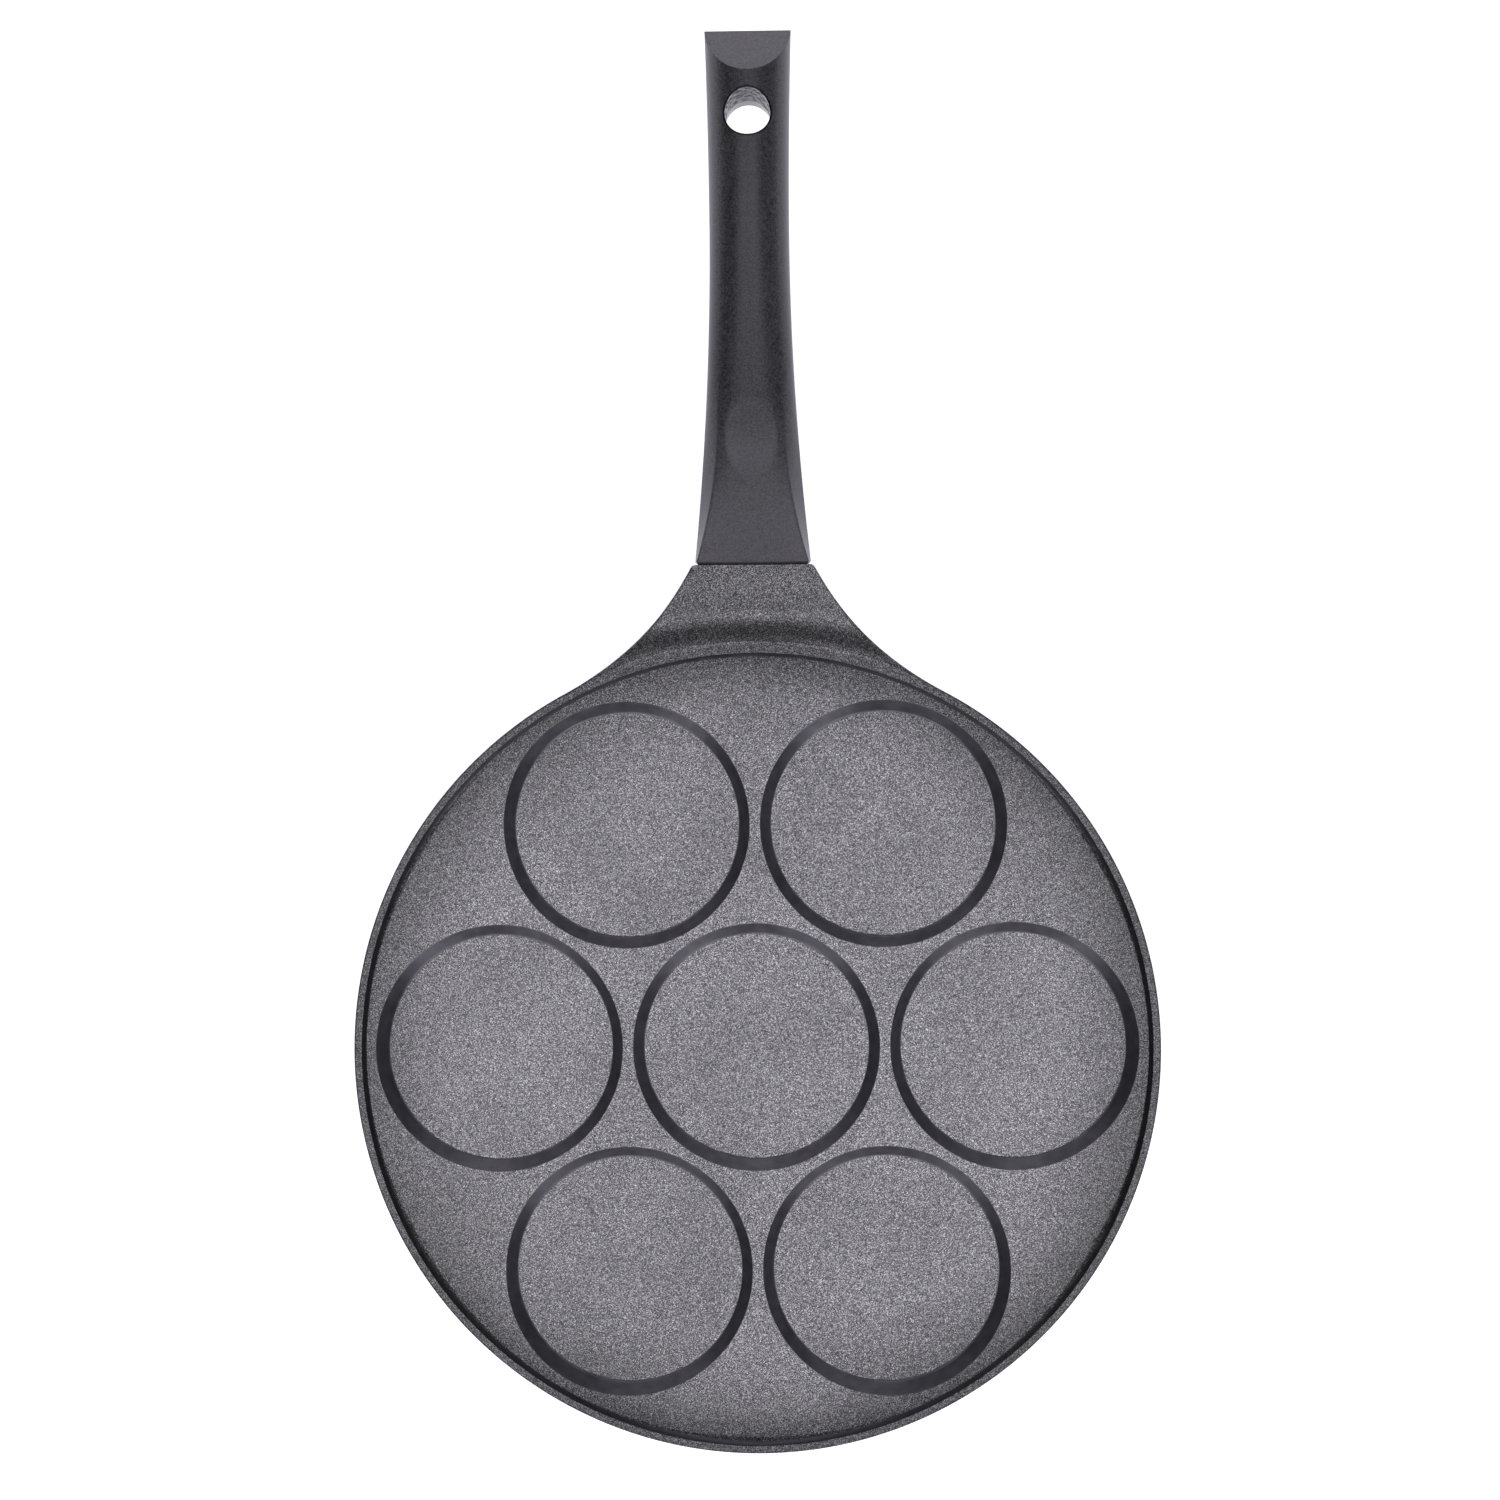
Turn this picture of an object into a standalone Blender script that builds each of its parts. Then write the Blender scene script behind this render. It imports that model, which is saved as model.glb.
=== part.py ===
"""Pancake pan with seven round moulds.

One aluminium casting holds the base, the moulds, the rim, the flared neck and a flat tang. A moulded handle
slides on the tang, and one screw with a spring washer and a flat washer holds it there from below.
Lengths are in metres. The origin is the centre of the flat base, +Y runs to the handle and +Z points up.
"""

import math

import bmesh
import bpy
from mathutils import Matrix, Vector

# Turned pan
RIM_RADIUS = 0.130
RIM_WIDTH = 0.0025
RIM_ROUNDING = 0.0007
LIP_HEIGHT = 0.0057
LIP_ROUNDING = 0.003
BASE_RADIUS = 0.113
BASE_ROUNDING = 0.006
BASE_THICKNESS = 0.007
STEP_HEIGHT = 0.0019
STEP_DRAFT = 0.0011
COVE_WIDTH = 0.014
COVE_RISE = 0.0026

# Moulds
MOULDS_AROUND = 6
MOULD_PITCH = 0.0833
MOULD_DEPTH = 0.004
MOULD_FLOOR_RADIUS = 0.03665
MOULD_TOP_RADIUS = 0.03995
MOULD_FLOOR_ROUNDING = 0.0012

# Neck between the rim and the handle
NECK_REACH = 0.0259
NECK_RISE = 0.0014
NECK_LEDGE = 0.0013
NECK_LEDGE_DROP = 0.00005
NECK_SHOULDER = 0.0008
NECK_HOLLOW_RADIUS = 0.0116
NECK_EDGE_RADIUS = 0.0012
NECK_END_ROUNDING = 0.0012
NECK_LEAST_RADIUS = 0.0002
NECK_EDGE_SHARE = 0.45
NECK_EDGE_FOOT = 0.0004
NECK_ROOT_FOOT = 0.0034
NECK_ROOT_LEAN = -0.85
NECK_UNDERSIDE_DIP = 0.0008
NECK_SIDE_DRAFT = math.radians(3)
NECK_ROOT_DEPTH = 0.0016
FLARE_RADIUS = 0.1012
FLARE_BITE = 0.0001

# Seam between the neck and the handle
SEAM_GAP = 0.00035
SEAM_TILT = math.radians(5)

# Handle
HANDLE_SLOPE = math.radians(16)
HANDLE_END_SLOPE = math.radians(2)
GRIP_LENGTH = 0.1682
GRIP_FRONT_WIDTH = 0.0378
GRIP_WAIST_WIDTH = 0.0253
GRIP_WAIST_AT = 0.108
GRIP_TIP_WIDTH = 0.0273
GRIP_FRONT_TAPER = 0.112
GRIP_FRONT_CROWN = 0.008
GRIP_REAR_CROWN = 0.0148
GRIP_REAR_CROWN_AT = 0.140
GRIP_FRONT_BELLY = 0.006
GRIP_REAR_BELLY = 0.0067
GRIP_BELLY_SQUARENESS = 3.4
GRIP_FRONT_ROUNDING = 0.0006
CREASE_LENGTH = 0.048
CREASE_BLEND_START = 0.015
CREASE_BLEND_END = 0.070
CREASE_FRONT_WIDTH_SHARE = 0.97
CREASE_FRONT_HEIGHT_SHARE = 0.95
CREASE_ANGLE = math.radians(45)
FACET_ANGLE = math.radians(40)
TIP_LAND = 0.0004
HANG_HOLE_RADIUS = 0.0073
HANG_HOLE_FROM_TIP = 0.0288
RECESS_AT = 0.0405
RECESS_DEPTH = 0.0019
RECESS_RADIUS_ACROSS = 0.078
RECESS_RADIUS_ALONG = 0.047
RECESS_TOOL_HEIGHT = 0.006

# Tang, its socket and the screw from below
TANG_LENGTH = 0.034
TANG_WIDTH = 0.015
TANG_THICKNESS = 0.004
TANG_RISE = 0.0024
TANG_OVERLAP = 0.008
TANG_TIP_CHAMFER = 0.002
SOCKET_CLEARANCE = 0.0003
SCREW_AT = 0.014
SCREW_DIAMETER = 0.004
SCREW_CLEARANCE = 0.0003
SCREW_SHORT_OF_TOP = 0.0005
SCREW_TIP_CHAMFER = 0.0005
HEAD_DIAMETER = 0.008
HEAD_HEIGHT = 0.0022
HEAD_ROUNDING = 0.0008
CROSS_WIDTH = 0.0011
CROSS_LENGTH = 0.0044
CROSS_DEPTH = 0.0013
FLAT_WASHER_DIAMETER = 0.009
FLAT_WASHER_THICKNESS = 0.0008
SPRING_WASHER_DIAMETER = 0.0076
SPRING_WASHER_THICKNESS = 0.001
SPRING_WASHER_SPLIT = math.radians(14)
SPRING_WASHER_SLANT = math.radians(4)
STACK_GAP = 0.0002
SEAT_WALL = 0.0015
COUNTERBORE_CLEARANCE = 0.0005

# Fineness of the turned and lofted surfaces
PAN_SEGMENTS = 120
MOULD_SEGMENTS = 56
HOLE_SEGMENTS = 32
SCREW_SEGMENTS = 24
ARC_STEPS = 3
COVE_STEPS = 5
NECK_ROWS = 12
NECK_ROW_SPREAD = 1.25
NECK_TOP_STEPS = 8
GRIP_ROWS = 30
GRIP_UPPER_STEPS = 20
GRIP_LOWER_STEPS = 14
RECESS_RINGS = 12
MERGE_DISTANCE = 1e-6
SMOOTH_ANGLE = math.radians(32)

# Length that cutters reach past what they cut, and the share of a turned piece that its flat end covers
CUTTER_MARGIN = 0.005
CAP_SHARE = 0.5

# Heights and places that follow from the sizes above
LAND_HEIGHT = BASE_THICKNESS + MOULD_DEPTH
RIM_TOP = LAND_HEIGHT + COVE_RISE + STEP_HEIGHT
LIP_FOOT = RIM_TOP - LIP_HEIGHT
STEP_RADIUS = RIM_RADIUS - RIM_WIDTH
COVE_OUTER_RADIUS = STEP_RADIUS - STEP_DRAFT
COVE_INNER_RADIUS = COVE_OUTER_RADIUS - COVE_WIDTH
NECK_END_WIDTH = GRIP_FRONT_WIDTH + 2 * NECK_SHOULDER
NECK_END_HEIGHT = GRIP_FRONT_CROWN + GRIP_FRONT_BELLY
SEAM_TOP = Vector((0, RIM_RADIUS + NECK_REACH, RIM_TOP + NECK_RISE))
SEAM_ALONG = Vector((0, math.cos(SEAM_TILT), math.sin(SEAM_TILT)))
SEAM_UP = Vector((0, -math.sin(SEAM_TILT), math.cos(SEAM_TILT)))
GRIP_START = SEAM_TOP - SEAM_UP * GRIP_FRONT_CROWN + SEAM_ALONG * SEAM_GAP
GRIP_CURVE_RADIUS = GRIP_LENGTH / (HANDLE_SLOPE - HANDLE_END_SLOPE)
CREASE_END_SHARE = math.sin(CREASE_ANGLE)


def ease(share):
    """Run smoothly from 0 to 1, level at both ends."""
    share = min(max(share, 0.0), 1.0)
    return share * share * (3 - 2 * share)


def mix(low, high, share):
    """Go from low to high by a share."""
    return low + (high - low) * share


def arch(share):
    """Rise from 0 to 1 half way and fall back to 0."""
    return 4 * share * (1 - share)


def make_material(name, color, roughness, metallic=0.0):
    """Make a Principled BSDF material of one colour."""
    material = bpy.data.materials.new(name)
    material.use_nodes = True
    shader = material.node_tree.nodes["Principled BSDF"]
    shader.inputs["Base Color"].default_value = (*color, 1)
    shader.inputs["Roughness"].default_value = roughness
    shader.inputs["Metallic"].default_value = metallic
    return material


def make_object(name, bm, material=None, parent=None):
    """Turn a bmesh into an object. Without a material it is a cutter or a guide, which never renders."""
    bmesh.ops.recalc_face_normals(bm, faces=bm.faces)
    mesh = bpy.data.meshes.new(name)
    bm.to_mesh(mesh)
    bm.free()
    obj = bpy.data.objects.new(name, mesh)
    bpy.context.scene.collection.objects.link(obj)
    if material is None:
        obj.hide_render = True
        obj.display_type = "WIRE"
    else:
        mesh.materials.append(material)
        mesh.shade_smooth()
        mesh.set_sharp_from_angle(angle=SMOOTH_ANGLE)
    obj.parent = parent
    return obj


def rounded(corners, steps=ARC_STEPS):
    """Give a profile's (x, y, radius) corners their fillets, each an arc tangent to both sides."""
    points = []
    for index, (x, y, radius) in enumerate(corners):
        corner = Vector((x, y))
        if radius == 0:
            points.append(corner)
            continue
        before = (Vector(corners[index - 1][:2]) - corner).normalized()
        after = (Vector(corners[index + 1][:2]) - corner).normalized()
        half = before.angle(after) / 2
        centre = corner + (before + after).normalized() * radius / math.sin(half)
        start = corner + before * radius / math.tan(half) - centre
        sweep = start.angle_signed(corner + after * radius / math.tan(half) - centre)
        for step in range(steps + 1):
            points.append(centre + Matrix.Rotation(-sweep * step / steps, 2) @ start)
    return points


def lathe(profile, segments, closed=False):
    """Turn a profile of (radius, height) points about Z. An open profile's ends get flat faces."""
    bm = bmesh.new()
    points = [bm.verts.new((radius, 0, height)) for radius, height in profile]
    following = points[1:] + points[:1] if closed else points[1:]
    sides = [bm.edges.new(pair) for pair in zip(points, following)]
    bmesh.ops.spin(
        bm, geom=points + sides, cent=(0, 0, 0), axis=(0, 0, 1), angle=2 * math.pi, steps=segments
    )
    bmesh.ops.remove_doubles(bm, verts=bm.verts, dist=MERGE_DISTANCE)
    ends = [edge for edge in bm.edges if edge.is_boundary]
    bmesh.ops.holes_fill(bm, edges=ends, sides=0)
    return bm


def loft(rings, ends=(0, -1)):
    """Skin a list of closed rings that have the same number of points, and close the ends that are named."""
    bm = bmesh.new()
    rows = [[bm.verts.new(point) for point in ring] for ring in rings]
    for row, further in zip(rows, rows[1:]):
        for index in range(len(row)):
            corners = (row[index - 1], row[index], further[index], further[index - 1])
            bm.faces.new(corners)
    for end in ends:
        bm.faces.new(rows[end])
    return bm


def prism(outline, low, high):
    """Extrude an outline in the XY plane from one height to another."""
    bm = bmesh.new()
    face = bm.faces.new([bm.verts.new((x, y, low)) for x, y in outline])
    raised = bmesh.ops.extrude_face_region(bm, geom=[face])["geom"]
    top = [item for item in raised if isinstance(item, bmesh.types.BMVert)]
    bmesh.ops.translate(bm, verts=top, vec=(0, 0, high - low))
    return bm


def combine(obj, operation, other):
    """Cut another object from this one, or join it on."""
    modifier = obj.modifiers.new(other.name, "BOOLEAN")
    modifier.operation = operation
    modifier.solver = "EXACT"
    modifier.object = other


def pan_profile():
    """Half section of the turned pan: base, underside, lip, rim, step and cove, in to the flat lands."""
    corners = [
        (CAP_SHARE * BASE_RADIUS, 0, 0),
        (BASE_RADIUS, 0, BASE_ROUNDING),
        (RIM_RADIUS, LIP_FOOT, LIP_ROUNDING),
        (RIM_RADIUS, RIM_TOP, RIM_ROUNDING),
        (STEP_RADIUS, RIM_TOP, 0),
    ]
    cove_radius = (COVE_WIDTH**2 + COVE_RISE**2) / (2 * COVE_RISE)
    cove_angle = math.asin(COVE_WIDTH / cove_radius)
    cove = []
    for step in range(COVE_STEPS + 1):
        angle = cove_angle * (1 - step / COVE_STEPS)
        radius = COVE_INNER_RADIUS + cove_radius * math.sin(angle)
        cove.append((radius, LAND_HEIGHT + cove_radius * (1 - math.cos(angle))))
    return [tuple(point) for point in rounded(corners)] + cove


def mould_places():
    """Centres of the moulds: one in the middle and the others evenly round it."""
    places = [Vector((0, 0, 0))]
    for index in range(MOULDS_AROUND):
        angle = 2 * math.pi * index / MOULDS_AROUND
        places.append(Vector((math.cos(angle), math.sin(angle), 0)) * MOULD_PITCH)
    return places


def make_mould_cutters():
    """One turned cutter for each mould: flat floor, leaning wall up to the lands, then straight up."""
    corners = [
        (CAP_SHARE * MOULD_FLOOR_RADIUS, BASE_THICKNESS, 0),
        (MOULD_FLOOR_RADIUS, BASE_THICKNESS, MOULD_FLOOR_ROUNDING),
        (MOULD_TOP_RADIUS, LAND_HEIGHT, 0),
        (MOULD_TOP_RADIUS, RIM_TOP + CUTTER_MARGIN, 0),
        (CAP_SHARE * MOULD_FLOOR_RADIUS, RIM_TOP + CUTTER_MARGIN, 0),
    ]
    cutters = []
    for index, place in enumerate(mould_places()):
        cutter = make_object(f"mould_cutter_{index}", lathe(rounded(corners), MOULD_SEGMENTS))
        cutter.location = place
        cutters.append(cutter)
    return cutters


def neck_top_height(distance):
    """Height of the neck's top at a distance from the pan's axis: a ledge at the rim, a hollow, a rise."""
    if distance <= RIM_RADIUS + NECK_LEDGE:
        return RIM_TOP - NECK_LEDGE_DROP
    rise = Vector((math.cos(HANDLE_SLOPE), math.sin(HANDLE_SLOPE)))
    square = Vector((-rise.y, rise.x))
    end = Vector((SEAM_TOP.y, SEAM_TOP.z))
    start = Vector((RIM_RADIUS + NECK_LEDGE, RIM_TOP - NECK_LEDGE_DROP))
    lift = (start - end).dot(square)
    chord = math.sqrt(max(NECK_HOLLOW_RADIUS**2 - (NECK_HOLLOW_RADIUS - lift) ** 2, 0))
    meeting = start - square * lift + rise * chord
    if distance >= meeting.x:
        return end.y + (distance - end.x) * math.tan(HANDLE_SLOPE)
    centre = meeting + square * NECK_HOLLOW_RADIUS
    return centre.y - math.sqrt(NECK_HOLLOW_RADIUS**2 - (distance - centre.x) ** 2)


def neck_corner():
    """Corner of the neck in plan, where its edge meets the seam."""
    return Vector((NECK_END_WIDTH / 2, SEAM_TOP.y))


def flare_edge(distance):
    """Edge of the neck in plan, at a distance from the pan's axis: an arc from the rim out to the seam."""
    corner = neck_corner()
    reach = RIM_RADIUS + FLARE_RADIUS
    closeness = (reach**2 + corner.length**2 - FLARE_RADIUS**2) / (2 * reach * corner.length)
    bearing = math.atan2(corner.x, corner.y) + math.acos(closeness)
    centre = Vector((math.sin(bearing), math.cos(bearing))) * reach
    turned = (reach**2 + FLARE_RADIUS**2 - distance**2) / (2 * reach * FLARE_RADIUS)
    angle = bearing + math.acos(min(turned, 1))
    return centre - Vector((math.sin(angle), math.cos(angle))) * FLARE_RADIUS


def neck_template():
    """Points of the neck's section, over the top and back below: (across, side, corner x, corner z)."""
    turns = [math.pi / 2 * step / ARC_STEPS for step in range(1, ARC_STEPS + 1)]
    run = [1 - 2 * step / NECK_TOP_STEPS for step in range(NECK_TOP_STEPS + 1)]
    points = [(across, 1, 0, 1) for across in run]
    points += [(-1, 1, -math.sin(turn), math.cos(turn)) for turn in turns]
    points += [(-1, -1, -math.sin(turn), math.cos(turn)) for turn in reversed(turns)]
    points += [(-across, -1, 0, 1) for across in run]
    points += [(1, -1, math.sin(turn), math.cos(turn)) for turn in turns]
    points += [(1, 1, math.sin(turn), math.cos(turn)) for turn in reversed(turns)]
    return points


def neck_ring(distance, inset=0.0):
    """Section of the neck whose edges are this far from the pan's axis, drawn in by an inset."""
    edge = flare_edge(distance)
    bearing = math.atan2(edge.x, edge.y)
    reach = neck_corner().length - RIM_RADIUS
    share = ease((distance - RIM_RADIUS) / reach)
    lean = mix(NECK_ROOT_LEAN, math.tan(SEAM_TILT), share)
    seam_foot = SEAM_TOP.z - NECK_END_HEIGHT * math.cos(SEAM_TILT)
    dip = NECK_UNDERSIDE_DIP * arch(share)
    keel = mix(NECK_ROOT_FOOT, seam_foot, share) - dip
    edge_foot = mix(LIP_FOOT + NECK_EDGE_FOOT, seam_foot, share) - dip

    def plan(across):
        bowed = Vector((math.sin(across * bearing), math.cos(across * bearing))) * edge.length
        return bowed.lerp(Vector((across * edge.x, edge.y)), share)

    def top(across):
        place = plan(across)
        return neck_top_height(mix(place.length, place.y, share)) - inset

    def foot(across):
        return mix(keel, edge_foot, across**2) + inset

    radius = max(min(NECK_EDGE_RADIUS, (top(1) - foot(1)) * NECK_EDGE_SHARE) - inset, NECK_LEAST_RADIUS)
    flat = 1 - (inset + radius) / edge.x
    ring = []
    for across, side, corner_x, corner_z in neck_template():
        place = plan(across * flat + corner_x * radius / edge.x)
        high = top(across * flat)
        z = (high if side > 0 else foot(across * flat)) + side * (corner_z - 1) * radius
        draft = (high - z) * math.tan(NECK_SIDE_DRAFT) * across
        ring.append(Vector((place.x - draft, place.y + (high - z) * lean, z)))
    return ring


def neck_root(ring):
    """The neck's first section, carried into the pan's wall so that the two join over a full face."""
    slope = (RIM_RADIUS - BASE_RADIUS) / LIP_FOOT
    root = []
    for point in ring:
        plan = Vector((point.x, point.y))
        wall = BASE_RADIUS + point.z * slope
        radius = min(RIM_RADIUS, wall) - NECK_ROOT_DEPTH
        plan = plan.normalized() * min(plan.length, radius)
        root.append(Vector((plan.x, plan.y, point.z)))
    return root


def fold_shut(ring):
    """The ring pressed onto the line half way between its top and its underside, which closes a loft."""
    last = 2 * (NECK_TOP_STEPS + 1 + ARC_STEPS) - 1
    return [(point + ring[(last - index) % len(ring)]) / 2 for index, point in enumerate(ring)]


def make_neck():
    """Loft the neck from inside the rim, over its ledge and hollow, out to its rounded end at the seam."""
    first = RIM_RADIUS + NECK_LEDGE
    last = neck_corner().length
    start = neck_ring(RIM_RADIUS + FLARE_BITE)
    root = neck_root(start)
    rings = [fold_shut(root), root, start, neck_ring(first)]
    for row in range(1, NECK_ROWS):
        rings.append(neck_ring(mix(first, last, (row / NECK_ROWS) ** NECK_ROW_SPREAD)))
    for step in range(ARC_STEPS + 1):
        turn = math.pi / 2 * step / ARC_STEPS
        back = NECK_END_ROUNDING * (1 - math.sin(turn))
        rings.append(neck_ring(last - back, NECK_END_ROUNDING * (1 - math.cos(turn))))
    bm = loft(rings, ends=(-1,))
    bmesh.ops.remove_doubles(bm, verts=bm.verts, dist=MERGE_DISTANCE)
    return make_object("neck_guide", bm)


def tang_frame():
    """Frame of the tang: origin on the parting line at the seam, Y along the tang, Z square to it."""
    origin = SEAM_TOP - SEAM_UP * GRIP_FRONT_CROWN
    return Matrix.Translation(origin) @ Matrix.Rotation(HANDLE_SLOPE, 4, "X")


def tang_outline(grow):
    """Plan of the tang with its chamfered tip, grown all round by a clearance."""
    half = TANG_WIDTH / 2 + grow
    tip = TANG_LENGTH + grow
    chamfer = TANG_TIP_CHAMFER
    return [
        (-half, -TANG_OVERLAP),
        (half, -TANG_OVERLAP),
        (half, tip - chamfer),
        (half - chamfer, tip),
        (-half + chamfer, tip),
        (-half, tip - chamfer),
    ]


def make_tang(name, grow):
    """The tang, or with a clearance the tool that cuts its socket."""
    half = TANG_THICKNESS / 2 + grow
    tang = make_object(name, prism(tang_outline(grow), TANG_RISE - half, TANG_RISE + half))
    tang.matrix_world = tang_frame()
    return tang


def make_hole_cutter(name, radius, low, high, place):
    """A round cutter along the screw's axis."""
    corners = [(radius, low), (radius, high)]
    cutter = make_object(name, lathe(corners, HOLE_SEGMENTS))
    cutter.matrix_world = place
    return cutter


def screw_frame():
    """Frame of the screw: Z along its axis, at its place along the tang."""
    return tang_frame() @ Matrix.Translation((0, SCREW_AT, 0))


def make_pan_body(material):
    """The casting: the turned pan, the neck and the tang, less the moulds and the screw's hole."""
    body = make_object("pan_body", lathe(pan_profile(), PAN_SEGMENTS), material)
    combine(body, "UNION", make_neck())
    combine(body, "UNION", make_tang("tang_guide", 0))
    for cutter in make_mould_cutters():
        combine(body, "DIFFERENCE", cutter)
    hole = make_hole_cutter(
        "tang_hole_cutter",
        SCREW_DIAMETER / 2 + SCREW_CLEARANCE,
        TANG_RISE - TANG_THICKNESS,
        TANG_RISE + TANG_THICKNESS,
        screw_frame(),
    )
    combine(body, "DIFFERENCE", hole)
    return body


def grip_slope(along):
    """Slope of the handle's parting line, at a distance from its front."""
    return HANDLE_SLOPE - along / GRIP_CURVE_RADIUS


def grip_place(along):
    """Point of the handle's parting line, an arc that levels out towards the tip."""
    slope = grip_slope(along)
    forward = GRIP_CURVE_RADIUS * (math.sin(HANDLE_SLOPE) - math.sin(slope))
    upward = GRIP_CURVE_RADIUS * (math.cos(slope) - math.cos(HANDLE_SLOPE))
    return GRIP_START + Vector((0, forward, upward))


def grip_half_width(along):
    """Half of the handle's width: a cubic from the front in to the waist, then a slow swell to the tip."""
    if along < GRIP_WAIST_AT:
        t = along / GRIP_WAIST_AT
        front = 2 * t**3 - 3 * t**2 + 1
        slope = t**3 - 2 * t**2 + t
        width = GRIP_FRONT_WIDTH / 2 * front + GRIP_WAIST_WIDTH / 2 * (1 - front)
        return width - GRIP_FRONT_TAPER * GRIP_WAIST_AT * slope
    t = (along - GRIP_WAIST_AT) / (GRIP_LENGTH - GRIP_WAIST_AT)
    return mix(GRIP_WAIST_WIDTH, GRIP_TIP_WIDTH, t * t) / 2


def grip_ring(along, inset=0.0):
    """Section of the handle: creased flat top turning into a half ellipse, over a squarish belly."""
    width = grip_half_width(along) - inset
    crown = mix(GRIP_FRONT_CROWN, GRIP_REAR_CROWN, ease(along / GRIP_REAR_CROWN_AT)) - inset
    belly = mix(GRIP_FRONT_BELLY, GRIP_REAR_BELLY, ease(along / GRIP_LENGTH)) - inset
    fade = max(1 - along / CREASE_LENGTH, 0) ** 2
    crease_x = width * mix(CREASE_END_SHARE, CREASE_FRONT_WIDTH_SHARE, fade)
    crease_z = crown * mix(CREASE_END_SHARE, CREASE_FRONT_HEIGHT_SHARE, fade)
    roundness = ease((along - CREASE_BLEND_START) / (CREASE_BLEND_END - CREASE_BLEND_START))
    section = []
    for step in range(GRIP_UPPER_STEPS + 1):
        angle = math.pi * step / GRIP_UPPER_STEPS
        across = math.cos(angle)
        if abs(across) > CREASE_END_SHARE:
            climb = min(angle, math.pi - angle) / CREASE_ANGLE
            x = math.copysign(mix(width, crease_x, climb), across)
            z = crease_z * climb
        else:
            x = crease_x * across / CREASE_END_SHARE
            z = mix(crown, crease_z, (across / CREASE_END_SHARE) ** 2)
        round_x, round_z = width * across, crown * math.sin(angle)
        section.append((mix(x, round_x, roundness), mix(z, round_z, roundness)))
    for step in range(1, GRIP_LOWER_STEPS):
        angle = math.pi + math.pi * step / GRIP_LOWER_STEPS
        across, down = math.cos(angle), -math.sin(angle)
        power = 2 / GRIP_BELLY_SQUARENESS
        section.append((math.copysign(width * abs(across) ** power, across), -belly * down**power))
    slope = mix(SEAM_TILT, grip_slope(along), ease(along / CREASE_LENGTH))
    up = Vector((0, -math.sin(slope), math.cos(slope)))
    place = grip_place(along)
    return [place + Vector((x, 0, 0)) + up * z for x, z in section]


def make_grip_solid(name, material):
    """Loft the handle from its rounded front edge to its square tip."""
    rings = []
    for step in range(ARC_STEPS):
        turn = math.pi / 2 * step / ARC_STEPS
        back = GRIP_FRONT_ROUNDING * (1 - math.cos(turn))
        rings.append(grip_ring(back, GRIP_FRONT_ROUNDING * (1 - math.sin(turn))))
    for row in range(GRIP_ROWS + 1):
        along = mix(GRIP_FRONT_ROUNDING, GRIP_LENGTH, row / GRIP_ROWS)
        rings.append(grip_ring(along))
    return make_object(name, loft(rings), material)


def make_facet_cutter():
    """Wedge that cuts the handle's slanting end, down to a narrow land above the parting line."""
    tip = grip_place(GRIP_LENGTH)
    depth = GRIP_REAR_CROWN + CUTTER_MARGIN
    run = depth / math.tan(FACET_ANGLE)
    start = -CUTTER_MARGIN
    outline = [
        (tip.y - start, tip.z + TIP_LAND + start * math.tan(FACET_ANGLE)),
        (tip.y - run, tip.z + TIP_LAND + depth),
        (tip.y - start, tip.z + TIP_LAND + depth),
    ]
    bm = prism(outline, -GRIP_TIP_WIDTH, GRIP_TIP_WIDTH)
    turn = Matrix(((0, 0, 1), (1, 0, 0), (0, 1, 0))).to_4x4()
    bmesh.ops.transform(bm, matrix=turn, verts=bm.verts)
    return make_object("facet_cutter", bm)


def make_hang_hole_cutter():
    """Upright round cutter through the handle, back from its tip."""
    tip = grip_place(GRIP_LENGTH)
    low = tip.z - GRIP_REAR_BELLY - CUTTER_MARGIN
    high = tip.z + GRIP_REAR_CROWN + CUTTER_MARGIN
    corners = [(HANG_HOLE_RADIUS, low), (HANG_HOLE_RADIUS, high)]
    cutter = make_object("hang_hole_cutter", lathe(corners, HOLE_SEGMENTS))
    cutter.location = (0, tip.y - HANG_HOLE_FROM_TIP, 0)
    return cutter


def make_recess_cutter():
    """Ellipsoid that sinks the thumb recess into the top to its depth."""
    ring = grip_ring(RECESS_AT)
    crown = ring[GRIP_UPPER_STEPS // 2]
    slope = grip_slope(RECESS_AT)
    bm = bmesh.new()
    bmesh.ops.create_uvsphere(bm, u_segments=HOLE_SEGMENTS, v_segments=RECESS_RINGS, radius=1)
    across = math.sqrt(RECESS_TOOL_HEIGHT * RECESS_RADIUS_ACROSS)
    along = math.sqrt(RECESS_TOOL_HEIGHT * RECESS_RADIUS_ALONG)
    bmesh.ops.scale(bm, vec=(across, along, RECESS_TOOL_HEIGHT), verts=bm.verts)
    cutter = make_object("recess_cutter", bm)
    lift = Matrix.Translation((0, 0, RECESS_TOOL_HEIGHT - RECESS_DEPTH))
    cutter.matrix_world = Matrix.Translation(crown) @ Matrix.Rotation(slope, 4, "X") @ lift
    return cutter


def seat_height():
    """Height, in the screw's frame, of the face in the counterbore that the washers press on."""
    return TANG_RISE - TANG_THICKNESS / 2 - SOCKET_CLEARANCE - SEAT_WALL


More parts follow.
